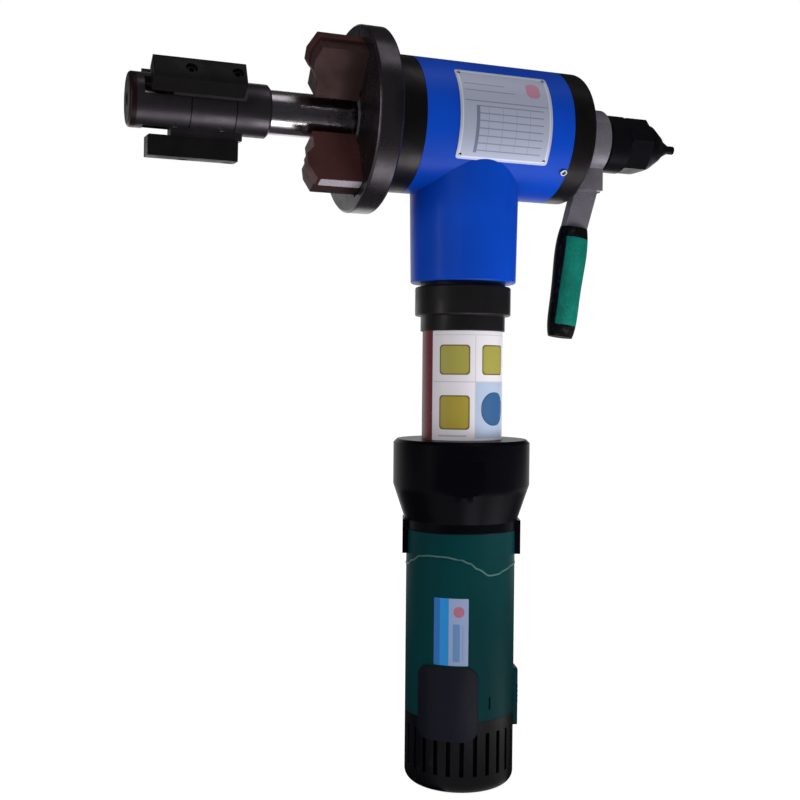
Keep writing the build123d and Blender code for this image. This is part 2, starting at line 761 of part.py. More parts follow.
def disc_screw_pieces():
    head_x = disc_front_x + small_chamfer
    with BuildPart() as disc_screws:
        for angle in disc_screw_angles:
            with BuildSketch(across_spindle(head_x)):
                with PolarLocations(disc_screw_circle_radius, 1, start_angle=angle):
                    Circle(disc_screw_head_radius)
            extrude(amount=disc_screw_head_height)
            with BuildSketch(across_spindle(head_x)):
                with PolarLocations(disc_screw_circle_radius, 1, start_angle=angle):
                    Circle(disc_screw_radius)
            extrude(amount=disc_rear_x + flange_thickness - head_x)
            with BuildSketch(across_spindle(head_x)):
                with PolarLocations(disc_screw_circle_radius, 1, start_angle=angle):
                    RegularPolygon(disc_screw_radius, side_count=6)
            extrude(amount=disc_screw_radius, mode=Mode.SUBTRACT)
    disc_screws.part.label = "disc_screws"
    export_step(disc_screws.part, "parts/disc_screws.step")


def side_shifted(angle, shift):
    """The plane beside the spindle at an angle, moved along its own normal."""
    return beside_spindle(angle).offset(shift)


def tool_outline(tip_x, setback, lip_drop):
    """The side view of a tool plate: it fills its slot behind the disc's face and widens inward before it."""
    return (
        (disc_rear_x, slot_root_radius + seat_gap),
        (disc_front_x - side_gap, slot_root_radius + seat_gap),
        (disc_front_x - side_gap, tool_inner_radius),
        (tip_x + bit_notch_depth, tool_inner_radius),
        (tip_x + bit_notch_depth, bit_notch_radius),
        (tip_x + setback, bit_notch_radius + bit_notch_depth),
        (tip_x + setback, tool_outer_radius - bit_nose_length),
        (tip_x + bit_notch_depth, tool_outer_radius - lip_drop),
        (disc_rear_x, tool_outer_radius - lip_drop),
    )


def tool_bit_pieces():
    bit_side = bit_thickness / 2 - slot_width / 2
    with BuildPart() as tool_bits:
        for angle, reach in zip(tool_angles, bit_reaches):
            with BuildSketch(side_shifted(angle, bit_side)):
                Polygon(*tool_outline(disc_rear_x - reach, 0, seat_gap), align=None)
            extrude(amount=bit_thickness / 2, both=True)
    tool_bits.part.label = "tool_bits"
    export_step(tool_bits.part, "parts/tool_bits.step")


def tool_clamp_pieces():
    clamp_thickness = slot_width - bit_thickness
    clamp_side = slot_width / 2 - clamp_thickness / 2
    with BuildPart() as tool_clamps:
        for angle, reach in zip(tool_angles, bit_reaches):
            with BuildSketch(side_shifted(angle, clamp_side)):
                Polygon(*tool_outline(disc_rear_x - reach, clamp_setback, clamp_lip_drop), align=None)
            extrude(amount=clamp_thickness / 2 - seat_gap, both=True)
    tool_clamps.part.label = "tool_clamps"
    export_step(tool_clamps.part, "parts/tool_clamps.step")


# Guide sleeve: slides on the mandrel shaft, its key in the keyway stops the housing from turning
sleeve_front_gap = 9.0
sleeve_front_x = front_ring_x + sleeve_front_gap
guide_key_length = 30.0
guide_key_inset = 4.0
guide_key_width = keyway_width - 2 * running_gap


def guide_sleeve_piece():
    with BuildPart() as guide_sleeve:
        with BuildSketch(across_spindle(sleeve_front_x)):
            Circle(sleeve_radius)
        extrude(amount=sleeve_flange_x + sleeve_flange_thickness - sleeve_front_x)
        with BuildSketch(across_spindle(sleeve_flange_x)):
            Circle(sleeve_flange_radius)
        extrude(amount=sleeve_flange_thickness)
        with BuildSketch(across_spindle(sleeve_front_x)):
            Circle(shaft_radius + running_gap)
        extrude(amount=sleeve_flange_x + sleeve_flange_thickness - sleeve_front_x, mode=Mode.SUBTRACT)
        key_middle_x = sleeve_front_x + guide_key_inset + guide_key_length / 2
        with BuildSketch(facing_out(keyway_angle, key_middle_x, shaft_radius - keyway_depth + running_gap)):
            Rectangle(guide_key_length, guide_key_width)
        extrude(amount=sleeve_radius - small_chamfer - shaft_radius + keyway_depth)
    guide_sleeve.part.label = "guide_sleeve"
    export_step(guide_sleeve.part, "parts/guide_sleeve.step")


# Feed nut with the ratchet wheel that the lever drives
feed_tube_radius = 17.5
wheel_root_radius = 18.5
wheel_tip_radius = 19.8
wheel_teeth = 24
wheel_width_share = 0.46
wheel_gap = 6.1
wheel_width = 20.0
wheel_front_x = rear_ring_end_x + wheel_gap
feed_nut_rear_gap = 1.0
feed_nut_rear_x = shaft_rear_x - feed_nut_rear_gap
wheel_washer_radius = 22.0


def feed_nut_piece():
    with BuildPart() as feed_nut:
        with BuildSketch(across_spindle(feed_collar_x)):
            Circle(feed_tube_radius)
        extrude(amount=feed_nut_rear_x - feed_collar_x)
        with BuildSketch(across_spindle(feed_collar_x)):
            Circle(feed_collar_radius)
        extrude(amount=retainer_x - side_gap - feed_collar_x)
        with BuildSketch(across_spindle(rear_ring_end_x + 2 * side_gap)):
            Circle(wheel_washer_radius)
        extrude(amount=wheel_front_x - rear_ring_end_x - 2 * side_gap)
        with BuildSketch(across_spindle(feed_collar_x)):
            Circle(shaft_radius + running_gap)
        extrude(amount=feed_nut_rear_x - feed_collar_x, mode=Mode.SUBTRACT)
    feed_nut.part.label = "feed_nut"
    export_step(feed_nut.part, "parts/feed_nut.step")


def feed_retainer_piece():
    with BuildPart() as feed_retainer:
        with BuildSketch(across_spindle(retainer_x)):
            Circle(retainer_radius)
            Circle(feed_tube_radius + running_gap, mode=Mode.SUBTRACT)
        extrude(amount=retainer_thickness)
    feed_retainer.part.label = "feed_retainer"
    export_step(feed_retainer.part, "parts/feed_retainer.step")


def ratchet_wheel_piece():
    pitch_radius = (wheel_root_radius + wheel_tip_radius) / 2
    outline = toothed_outline(
        wheel_teeth, wheel_root_radius, pitch_radius, wheel_tip_radius, wheel_width_share,
        first_angle=motor_direction + 180 / wheel_teeth)
    with BuildPart() as ratchet_wheel:
        with BuildSketch(across_spindle(wheel_front_x)):
            Polygon(*outline, align=None)
            Circle(feed_tube_radius + seat_gap, mode=Mode.SUBTRACT)
        extrude(amount=wheel_width)
    ratchet_wheel.part.label = "ratchet_wheel"
    export_step(ratchet_wheel.part, "parts/ratchet_wheel.step")


# Ratchet lever: a steel head round the wheel, an arm and a two-colour grip
head_ring_radius = 24.4
head_pocket_half_width = 9.0
head_boss_bottom_z = -38.0
head_boss_half_width = 12.0
pocket_bottom_z = -33.0
pocket_edge_inset = 5.0
arm_thickness = 9.0
arm_half_width = 9.0
grip_top_drop = 66.0
grip_bottom_drop = 149.0
grip_top_reach = 2.0
grip_lean = 11.0
grip_top = (wheel_front_x + grip_top_reach, -grip_top_drop)
grip_bottom = (grip_top[0] - grip_lean, -grip_bottom_drop)
arm_rod_radius = 4.5
grip_half_width = 12.4
rod_end_gap = 4.5
pawl_pivot_z = -29.0
pawl_pin_radius = 1.5
head_front_side_x = wheel_front_x + side_gap
head_rear_side_x = wheel_front_x + wheel_width - side_gap
grip_run = Vector(grip_bottom[0] - grip_top[0], 0, grip_bottom[1] - grip_top[1])
grip_length = grip_run.length


def grip_plane(distance):
    """A plane square to the grip's axis, at a distance down from the grip's top."""
    place = Vector(grip_top[0], 0, grip_top[1]) + grip_run.normalized() * distance
    return Plane(origin=place, x_dir=grip_run.cross(Vector(0, 1, 0)).normalized(), z_dir=grip_run)


def ratchet_lever_piece():
    ring_width = head_rear_side_x - head_front_side_x
    across = grip_plane(-running_gap).x_dir * arm_half_width
    arm_end = grip_plane(-running_gap).origin
    with BuildPart() as ratchet_lever:
        with BuildSketch(across_spindle(head_front_side_x)):
            Circle(head_ring_radius)
            with Locations((0, (head_boss_bottom_z - wheel_tip_radius) / 2)):
                Rectangle(2 * head_boss_half_width, -head_boss_bottom_z - wheel_tip_radius)
        extrude(amount=ring_width)
        with BuildSketch(Plane.XZ):
            Polygon(
                (head_front_side_x, head_boss_bottom_z + small_chamfer),
                (head_rear_side_x, head_boss_bottom_z + small_chamfer),
                (arm_end.X + across.X, arm_end.Z + across.Z),
                (arm_end.X - across.X, arm_end.Z - across.Z),
                align=None,
            )
        extrude(amount=arm_thickness / 2, both=True)
        with BuildSketch(grip_plane(-small_chamfer)):
            Circle(arm_rod_radius)
        extrude(amount=grip_length - rod_end_gap + small_chamfer)
        with BuildSketch(across_spindle(head_front_side_x)):
            Circle(wheel_tip_radius + running_gap)
        extrude(amount=ring_width, mode=Mode.SUBTRACT)
        with BuildSketch(across_spindle(head_front_side_x + pocket_edge_inset)):
            with Locations((0, pocket_bottom_z / 2)):
                Rectangle(2 * head_pocket_half_width, -pocket_bottom_z)
        extrude(amount=ring_width - 2 * pocket_edge_inset, mode=Mode.SUBTRACT)
        with BuildSketch(across_spindle(head_front_side_x)):
            with Locations((0, pawl_pivot_z)):
                Circle(pawl_pin_radius + running_gap)
        extrude(amount=ring_width, mode=Mode.SUBTRACT)
    ratchet_lever.part.label = "ratchet_lever"
    export_step(ratchet_lever.part, "parts/ratchet_lever.step")


def grip_body():
    """The outside of the grip: sections square to its axis that swell and narrow."""
    grip_station_shares = (0, 0.06, 0.35, 0.7, 0.93, 1)
    grip_width_shares = (0.855, 0.935, 1, 0.935, 0.87, 0.76)
    grip_depth_share = 0.86
    with BuildPart() as body:
        for station_share, width_share in zip(grip_station_shares, grip_width_shares):
            half_width = width_share * grip_half_width
            with BuildSketch(grip_plane(station_share * grip_length)):
                Ellipse(half_width, half_width * grip_depth_share)
        loft()
        with BuildSketch(grip_plane(0)):
            Circle(arm_rod_radius + seat_gap)
        extrude(amount=grip_length - rod_end_gap + seat_gap, mode=Mode.SUBTRACT)
    return body.part


grip_collar_length = 8.0
grip_end_length = 9.0
grip_strip_x = -9.0


def grip_pieces():
    body = grip_body()
    window_length = grip_length - grip_collar_length - grip_end_length
    with BuildPart() as grip_core:
        add(body)
        with BuildSketch(grip_plane(grip_collar_length)):
            with Locations((grip_strip_x + grip_length / 2, 0)):
                Rectangle(grip_length, grip_length)
        extrude(amount=window_length, mode=Mode.SUBTRACT)
    grip_core.part.label = "grip_core"
    export_step(grip_core.part, "parts/grip_core.step")
    with BuildPart() as grip_cover:
        add(body)
        with BuildSketch(grip_plane(grip_collar_length + seat_gap)):
            with Locations((grip_strip_x + seat_gap + grip_length / 2, 0)):
                Rectangle(grip_length, grip_length)
        extrude(amount=window_length - 2 * seat_gap, mode=Mode.INTERSECT)
    grip_cover.part.label = "grip_cover"
    export_step(grip_cover.part, "parts/grip_cover.step")


# Pawl: a two-ended rocker under the wheel, made in one with its pin and selector knob
pawl_tip_y = 6.4
pawl_tip_z = -20.2
pawl_tip_width = 1.6
pawl_hub_radius = 3.4
pawl_width = 9.0
selector_radius = 5.0
selector_thickness = 3.0
selector_wing = 9.0


def pawl_piece():
    with BuildPart() as pawl:
        pawl_x = (head_front_side_x + head_rear_side_x - pawl_width) / 2
        with BuildSketch(across_spindle(pawl_x)):
            with Locations((0, pawl_pivot_z)):
                Circle(pawl_hub_radius)
            Polygon(
                (0, pawl_pivot_z - pawl_hub_radius),
                (pawl_tip_y + pawl_tip_width / 2, pawl_tip_z - pawl_tip_width),
                (pawl_tip_y, pawl_tip_z),
                (pawl_tip_y - pawl_tip_width, pawl_tip_z - pawl_tip_width / 2),
                (0, pawl_pivot_z + pawl_hub_radius),
                (pawl_tip_width - pawl_tip_y, pawl_tip_z - pawl_tip_width / 2),
                (-pawl_tip_y, pawl_tip_z),
                (-pawl_tip_y - pawl_tip_width / 2, pawl_tip_z - pawl_tip_width),
                align=None,
            )
        extrude(amount=pawl_width)
        with BuildSketch(across_spindle(head_front_side_x)):
            with Locations((0, pawl_pivot_z)):
                Circle(pawl_pin_radius)
        extrude(amount=head_rear_side_x + side_gap - head_front_side_x)
        with BuildSketch(across_spindle(head_rear_side_x + side_gap)):
            with Locations((0, pawl_pivot_z)):
                Circle(selector_radius)
            with Locations((0, pawl_pivot_z - selector_wing / 2)):
                Rectangle(selector_radius, selector_wing)
        extrude(amount=selector_thickness)
    pawl.part.label = "pawl"
    export_step(pawl.part, "parts/pawl.step")


# Drive line: bevel pinion, shaft and the carrier of the planets
pinion_shaft_radius = 8.0
pinion_collar_radius = 10.6
pinion_collar_height = 3.6
bush_height = 15.0
upper_bush_gap = 1.2
lower_bush_drop = 38.0
coupling_radius = 11.5
coupling_top_z = -98.5
coupling_height = 22.0
drive_shaft_radius = 6.0
tube_wall = 4.0
tube_socket_depth = 3.7
tube_bush_height = 8.0
pinion_big_z = -crown_pitch_radius * pinion_outer_share
pinion_collar_bottom_z = pinion_big_z - pinion_collar_height
shaft_joint_z = coupling_top_z - coupling_height / 2


def bevel_pinion_piece():
    outline = toothed_outline(
        pinion_teeth,
        pinion_pitch_radius - tooth_dedendum,
        pinion_pitch_radius,
        pinion_pitch_radius + tooth_addendum,
        bevel_width_share,
        first_angle=180 / pinion_teeth,
    )
    with BuildPart() as bevel_pinion:
        for share in (pinion_outer_share, pinion_inner_share):
            with BuildSketch(across_motor(-crown_pitch_radius * share)):
                Polygon(*[(x * share, y * share) for x, y in outline], align=None)
        loft(ruled=True)
        with BuildSketch(across_motor(pinion_big_z)):
            Circle(pinion_collar_radius)
        extrude(amount=-pinion_collar_height)
        with BuildSketch(across_motor(pinion_big_z)):
            Circle(pinion_shaft_radius)
        extrude(amount=shaft_joint_z - pinion_big_z)
    bevel_pinion.part.label = "bevel_pinion"
    export_step(bevel_pinion.part, "parts/bevel_pinion.step")


def drive_bush_pieces():
    upper_z = pinion_collar_bottom_z - upper_bush_gap
    with BuildPart() as drive_bushes:
        for top_z in (upper_z, upper_z - lower_bush_drop):
            with BuildSketch(across_motor(top_z)):
                Circle(bush_radius)
                Circle(pinion_shaft_radius + running_gap, mode=Mode.SUBTRACT)
            extrude(amount=-bush_height)
        with BuildSketch(across_motor(tube_bottom_z)):
            Circle(tube_radius - tube_wall - seat_gap)
            Circle(drive_shaft_radius + running_gap, mode=Mode.SUBTRACT)
        extrude(amount=tube_bush_height)
    drive_bushes.part.label = "drive_bushes"
    export_step(drive_bushes.part, "parts/drive_bushes.step")


# Planetary stage: sun on the armature, three planets on the carrier, ring fixed in the gearcase
planet_module = 1.25
sun_teeth = 12
planet_teeth = 18
ring_teeth = sun_teeth + 2 * planet_teeth
planet_addendum = 1.0
planet_dedendum = 1.35
planet_width_share = 0.42
planet_angles = (90.0, 210.0, 330.0)
ring_outer_radius = 35.0
ring_height = 12.0
ring_drop = 13.0
planet_pin_radius = 3.0
carrier_thickness = 5.0
carrier_margin = 5.5
sun_radius = sun_teeth * planet_module / 2
planet_radius = planet_teeth * planet_module / 2
ring_radius = ring_teeth * planet_module / 2
carrier_radius = sun_radius + planet_radius
ring_top_z = tube_bottom_z - ring_drop
carrier_bottom_z = ring_top_z + side_gap


def drive_shaft_piece():
    with BuildPart() as drive_shaft:
        with BuildSketch(across_motor(coupling_top_z)):
            Circle(coupling_radius)
        extrude(amount=-coupling_height)
        with BuildSketch(across_motor(coupling_top_z)):
            Circle(pinion_shaft_radius + seat_gap)
        extrude(amount=shaft_joint_z - coupling_top_z, mode=Mode.SUBTRACT)
        with BuildSketch(across_motor(shaft_joint_z)):
            Circle(drive_shaft_radius)
        extrude(amount=carrier_bottom_z - shaft_joint_z)
    drive_shaft.part.label = "drive_shaft"
    export_step(drive_shaft.part, "parts/drive_shaft.step")


def planet_carrier_piece():
    with BuildPart() as planet_carrier:
        with BuildSketch(across_motor(carrier_bottom_z)):
            Circle(carrier_radius + carrier_margin)
            Circle(drive_shaft_radius + seat_gap, mode=Mode.SUBTRACT)
        extrude(amount=carrier_thickness)
        with BuildSketch(across_motor(carrier_bottom_z)):
            for angle in planet_angles:
                with PolarLocations(carrier_radius, 1, start_angle=angle):
                    Circle(planet_pin_radius)
        extrude(amount=-ring_height)
    planet_carrier.part.label = "planet_carrier"
    export_step(planet_carrier.part, "parts/planet_carrier.step")


def planet_pieces():
    for number, angle in enumerate(planet_angles, start=1):
        outline = toothed_outline(
            planet_teeth,
            planet_radius - planet_dedendum,
            planet_radius,
            planet_radius + planet_addendum,
            planet_width_share,
            first_angle=angle + 180 / planet_teeth,
        )
        centre = (carrier_radius * cos(radians(angle)), carrier_radius * sin(radians(angle)))
        with BuildPart() as planet:
            with BuildSketch(across_motor(ring_top_z)):
                with Locations(centre):
                    Polygon(*outline, align=None)
                    Circle(planet_pin_radius + running_gap, mode=Mode.SUBTRACT)
            extrude(amount=-ring_height)
        planet.part.label = f"planet_{number}"
        export_step(planet.part, f"parts/planet_{number}.step")


def ring_gear_piece():
    hollow = toothed_outline(
        ring_teeth,
        ring_radius - planet_addendum,
        ring_radius,
        ring_radius + planet_dedendum,
        1 - planet_width_share,
        first_angle=planet_angles[0] + 180 / ring_teeth,
    )
    with BuildPart() as ring_gear:
        with BuildSketch(across_motor(ring_top_z)):
            Circle(ring_outer_radius)
            Polygon(*hollow, align=None, mode=Mode.SUBTRACT)
        extrude(amount=-ring_height)
    ring_gear.part.label = "ring_gear"
    export_step(ring_gear.part, "parts/ring_gear.step")


# Joint between the neck and the motor: neck ring, coupling nut and tube
tube_spigot_radius = 26.0
neck_ring_radius = 31.0
nut_seat_depth = 12.0
skirt_radius = 30.9


def neck_ring_piece():
    with BuildPart() as neck_ring:
        with BuildSketch(across_motor(neck_bottom_z)):
            Circle(neck_ring_radius)
            Circle(tube_spigot_radius + seat_gap, mode=Mode.SUBTRACT)
        extrude(amount=-neck_ring_height)
    neck_ring.part.label = "neck_ring"
    export_step(neck_ring.part, "parts/neck_ring.step")


def coupling_nut_piece():
    with BuildPart() as coupling_nut:
        with BuildSketch(across_motor(neck_ring_bottom_z)):
            Circle(coupling_nut_radius)
        extrude(amount=-coupling_nut_height)
        rims = coupling_nut.edges().filter_by(GeomType.CIRCLE)
        chamfer(rims, length=small_chamfer)
        with BuildSketch(across_motor(coupling_nut_bottom_z)):
            Circle(skirt_radius)
        extrude(amount=-coupling_skirt_height)
        with BuildSketch(across_motor(neck_ring_bottom_z)):
            Circle(tube_spigot_radius + seat_gap)
        extrude(amount=-nut_seat_depth, mode=Mode.SUBTRACT)
        with BuildSketch(across_motor(neck_ring_bottom_z - nut_seat_depth)):
            Circle(tube_radius + seat_gap)
        extrude(amount=skirt_bottom_z - neck_ring_bottom_z + nut_seat_depth, mode=Mode.SUBTRACT)
    coupling_nut.part.label = "coupling_nut"
    export_step(coupling_nut.part, "parts/coupling_nut.step")


def extension_tube_piece():
    shoulder_z = neck_ring_bottom_z - nut_seat_depth
    with BuildPart() as extension_tube:
        with BuildSketch(across_motor(shoulder_z)):
            Circle(tube_radius)
        extrude(amount=tube_bottom_z - tube_socket_depth - shoulder_z)
        with BuildSketch(across_motor(shoulder_z)):
            Circle(tube_spigot_radius)
        extrude(amount=neck_bottom_z + neck_socket_depth - shoulder_z)
        with BuildSketch(across_motor(neck_bottom_z + neck_socket_depth)):
            Circle(tube_spigot_radius - tube_wall)
        extrude(amount=shoulder_z - neck_bottom_z - neck_socket_depth, mode=Mode.SUBTRACT)
        with BuildSketch(across_motor(shoulder_z)):
            Circle(tube_radius - tube_wall)
        extrude(amount=tube_bottom_z - tube_socket_depth - shoulder_z, mode=Mode.SUBTRACT)
    extension_tube.part.label = "extension_tube"
    export_step(extension_tube.part, "parts/extension_tube.step")


# Gearcase: a round casting with a recessed window and two tongues over the collar
gearcase_top_wall = 2.0
gearcase_shaft_hole_radius = 14.0
gearcase_rounding = 2.5
window_angle = 249.0
window_width = 35.0
window_height = 26.0
window_drop = 12.9
window_depth = 2.0
window_rounding = 4.0
tongue_angles = (159.0, 339.0)
tongue_width = 26.0
tongue_thickness = 2.2
collar_radius = 40.6


def gearcase_piece():
    socket_z = tube_bottom_z - tube_socket_depth
    with BuildPart() as gearcase:
        with BuildSketch(motor_profile):
            Polygon(
                (0, tube_bottom_z),
                (gearcase_radius - gearcase_rounding, tube_bottom_z),
                (gearcase_radius, tube_bottom_z - gearcase_rounding),
                (gearcase_radius, gearcase_shoulder_z),
                (gearcase_foot_radius, gearcase_foot_z),
                (0, gearcase_foot_z),
                align=None,
            )
        revolve(axis=motor_axis)
        window_z = tube_bottom_z - window_drop - window_height / 2
        with BuildSketch(facing_motor(window_angle, window_z, gearcase_radius - window_depth)):
            RectangleRounded(window_width, window_height, window_rounding)
        extrude(amount=gearcase_radius, mode=Mode.SUBTRACT)
        for angle in tongue_angles:
            with BuildSketch(facing_motor(angle, (gearcase_foot_z + collar_bottom_z) / 2, 0)):
                Rectangle(tongue_width, collar_height)
            extrude(amount=collar_radius + tongue_thickness)
        with BuildSketch(across_motor(collar_bottom_z)):
            Circle(collar_radius + seat_gap)
        extrude(amount=collar_height, mode=Mode.SUBTRACT)
        with BuildSketch(motor_profile):
            Polygon(
                (0, tube_bottom_z),
                (tube_radius + seat_gap, tube_bottom_z),
                (tube_radius + seat_gap, socket_z),
                (gearcase_shaft_hole_radius, socket_z),
                (gearcase_shaft_hole_radius, socket_z - gearcase_top_wall),
                (ring_outer_radius + seat_gap, socket_z - gearcase_top_wall),
                (ring_outer_radius + seat_gap, gearcase_foot_z),
                (0, gearcase_foot_z),
                align=None,
            )
        revolve(axis=motor_axis, mode=Mode.SUBTRACT)
        with BuildSketch(across_motor(gearcase_foot_z)):
            Circle(ring_outer_radius + seat_gap)
        extrude(amount=gearcase_top_wall, mode=Mode.SUBTRACT)
    gearcase.part.label = "gearcase"
    export_step(gearcase.part, "parts/gearcase.step")


# Motor: collar, shell, stator and armature
armature_shaft_radius = 5.0
bearing_ring_radius = 11.0
motor_bearing_height = 7.0
collar_spigot_length = 8.0
collar_plate_thickness = 3.0
shell_wall = 2.8
stator_top_drop = 12.0
stator_height = 52.0
stator_bore_radius = 22.5
coil_height = 8.0
coil_inner_radius = 24.5
coil_outer_radius = 33.0
armature_gap = 0.5
winding_radius = 18.0
armature_slots = 12
armature_slot_width = 3.0
armature_slot_depth = 6.0
commutator_radius = 12.0
commutator_height = 17.0
commutator_bars = 12
bar_groove_width = 0.8
commutator_drop = 14.0
fan_radius = 32.0
fan_height = 9.0
fan_hub_radius = 9.0
fan_disc_thickness = 2.0
fan_blades = 9
fan_blade_thickness = 1.8
fan_top_gap = 4.0
shell_spigot_length = 6.0
shell_inner_radius = motor_radius - shell_wall
collar_spigot_radius = ring_outer_radius
collar_spigot_wall = 1.5
collar_inner_radius = collar_spigot_radius - collar_spigot_wall
plate_top_z = gearcase_foot_z + collar_spigot_length
plate_bottom_z = plate_top_z - collar_plate_thickness
stator_top_z = collar_bottom_z - stator_top_drop
stator_bottom_z = stator_top_z - stator_height
commutator_top_z = stator_bottom_z - commutator_drop
rear_bearing_bottom_z = shell_bottom_z - motor_bearing_height
sun_bottom_z = ring_top_z - ring_height - side_gap


def motor_collar_piece():
    with BuildPart() as motor_collar:
        with BuildSketch(motor_profile):
            Polygon(
                (bearing_ring_radius + seat_gap, plate_top_z),
                (collar_spigot_radius, plate_top_z),
                (collar_spigot_radius, gearcase_foot_z),
                (collar_radius, gearcase_foot_z),
                (collar_radius, collar_bottom_z),
                (shell_inner_radius - seat_gap, collar_bottom_z),
                (shell_inner_radius - seat_gap, collar_bottom_z - shell_spigot_length),
                (collar_inner_radius, collar_bottom_z - shell_spigot_length),
                (collar_inner_radius, plate_bottom_z),
                (bearing_ring_radius + 2 * edge_chamfer, plate_bottom_z),
                (bearing_ring_radius + 2 * edge_chamfer, plate_top_z - motor_bearing_height),
                (bearing_ring_radius + seat_gap, plate_top_z - motor_bearing_height),
                align=None,
            )
        revolve(axis=motor_axis)
    motor_collar.part.label = "motor_collar"
    export_step(motor_collar.part, "parts/motor_collar.step")


def motor_bearing_pieces():
    with BuildPart() as motor_bearings:
        for top_z in (plate_top_z, shell_bottom_z):
            with BuildSketch(across_motor(top_z)):
                Circle(bearing_ring_radius)
                Circle(armature_shaft_radius + running_gap, mode=Mode.SUBTRACT)
            extrude(amount=-motor_bearing_height)
    motor_bearings.part.label = "motor_bearings"
    export_step(motor_bearings.part, "parts/motor_bearings.step")


# Side covers over the brushes, curved to the shell
cover_width = 43.8
cover_height = 52.5
cover_overhang = 14.0
cover_top_z = shell_bottom_z - cover_overhang + cover_height
cover_rounding = 8.0
cover_rise = 1.4
cover_angles = (232.5, 52.5)
brush_width = 7.0
brush_height = 11.0
shell_slot_width = 1.6
shell_slot_height = 9.0
shell_slot_angles = (279.0, 99.0)
shell_slot_rise = 12.0
shell_slot_z = shell_bottom_z + shell_slot_rise
switch_plate_lift = 8.0
switch_plate_z = shell_bottom_z + switch_plate_lift
switch_slot_lift = 13.7
switch_slot_z = shell_bottom_z + switch_slot_lift
switch_plate_height = 42.0
switch_plate_width = 17.0
switch_plate_rise = 2.4
switch_slider_height = 14.0
switch_slider_width = 11.0
switch_slider_rise = 3.2
switch_travel = 8.0


def motor_shell_piece():
    with BuildPart() as motor_shell:
        with BuildSketch(across_motor(collar_bottom_z)):
            Circle(motor_radius)
        extrude(amount=-motor_shell_height)
        with BuildSketch(facing_motor(motor_side_angle, switch_plate_z, 0)):
            RectangleRounded(switch_plate_width, switch_plate_height, switch_plate_rise)
        extrude(amount=motor_radius + switch_plate_rise)
        with BuildSketch(across_motor(collar_bottom_z)):
            Circle(shell_inner_radius)
        extrude(amount=-motor_shell_height, mode=Mode.SUBTRACT)
        with BuildSketch(across_motor(shell_bottom_z)):
            Circle(motor_radius + seat_gap)
        extrude(amount=-switch_plate_height, mode=Mode.SUBTRACT)
        for angle in cover_angles:
            with BuildSketch(facing_motor(angle, commutator_top_z - commutator_height / 2, 0)):
                Rectangle(brush_width + 2 * side_gap, brush_height + 2 * side_gap)
            extrude(amount=motor_radius + overrun, mode=Mode.SUBTRACT)
        for angle in shell_slot_angles:
            with BuildSketch(facing_motor(angle, shell_slot_z, 0)):
                Rectangle(shell_slot_width, shell_slot_height)
            extrude(amount=motor_radius + overrun, mode=Mode.SUBTRACT)
        with BuildSketch(facing_motor(motor_side_angle, switch_slot_z, shell_inner_radius + shell_wall / 2)):
            Rectangle(switch_slider_width + 2 * side_gap, switch_slider_height + 2 * side_gap + switch_travel)
        extrude(amount=motor_radius, mode=Mode.SUBTRACT)
    motor_shell.part.label = "motor_shell"
    export_step(motor_shell.part, "parts/motor_shell.step")


def switch_slider_piece():
    rest_z = switch_slot_z - switch_travel / 2
    floor_radius = shell_inner_radius + shell_wall / 2 + running_gap
    with BuildPart() as switch_slider:
        with BuildSketch(facing_motor(motor_side_angle, rest_z, floor_radius)):
            RectangleRounded(switch_slider_width, switch_slider_height, edge_chamfer)
        extrude(amount=motor_radius + switch_slider_rise - floor_radius)
        for step in (-1, 0, 1):
            with BuildSketch(facing_motor(motor_side_angle, rest_z + step * switch_slider_height / 4,
                                          motor_radius + switch_slider_rise)):
                Rectangle(switch_slider_width + overrun, edge_chamfer)
            extrude(amount=-small_chamfer, mode=Mode.SUBTRACT)
    switch_slider.part.label = "switch_slider"
    export_step(switch_slider.part, "parts/switch_slider.step")


def brush_cover_pieces():
    cover_z = cover_top_z - cover_height / 2
    with BuildPart() as brush_covers:
        for angle in cover_angles:
            with BuildSketch(facing_motor(angle, cover_z, motor_radius / 2)):
                RectangleRounded(cover_width, cover_height, cover_rounding)
            extrude(amount=motor_radius)
        with BuildSketch(across_motor(cover_top_z + overrun)):
            Circle(motor_radius + cover_rise)
        extrude(amount=-cover_height - 2 * overrun, mode=Mode.INTERSECT)
        with BuildSketch(across_motor(cover_top_z + overrun)):
            Circle(motor_radius + seat_gap)
        extrude(amount=-cover_height - 2 * overrun, mode=Mode.SUBTRACT)
    brush_covers.part.label = "brush_covers"
    export_step(brush_covers.part, "parts/brush_covers.step")


def brush_pieces():
    with BuildPart() as brushes:
        for angle in cover_angles:
            with BuildSketch(facing_motor(angle, commutator_top_z - commutator_height / 2,
                                          commutator_radius + side_gap)):
                Rectangle(brush_width, brush_height)
            extrude(amount=motor_radius - small_chamfer - commutator_radius)
    brushes.part.label = "brushes"
    export_step(brushes.part, "parts/brushes.step")


def stator_piece():
    with BuildPart() as stator:
        with BuildSketch(across_motor(stator_top_z)):
            Circle(shell_inner_radius - seat_gap)
            Circle(stator_bore_radius, mode=Mode.SUBTRACT)
        extrude(amount=-stator_height)
        for start_z in (stator_top_z, stator_bottom_z - coil_height):
            with BuildSketch(across_motor(start_z)):
                Circle(coil_outer_radius)
                Circle(coil_inner_radius, mode=Mode.SUBTRACT)
            extrude(amount=coil_height)
    stator.part.label = "stator"
    export_step(stator.part, "parts/stator.step")


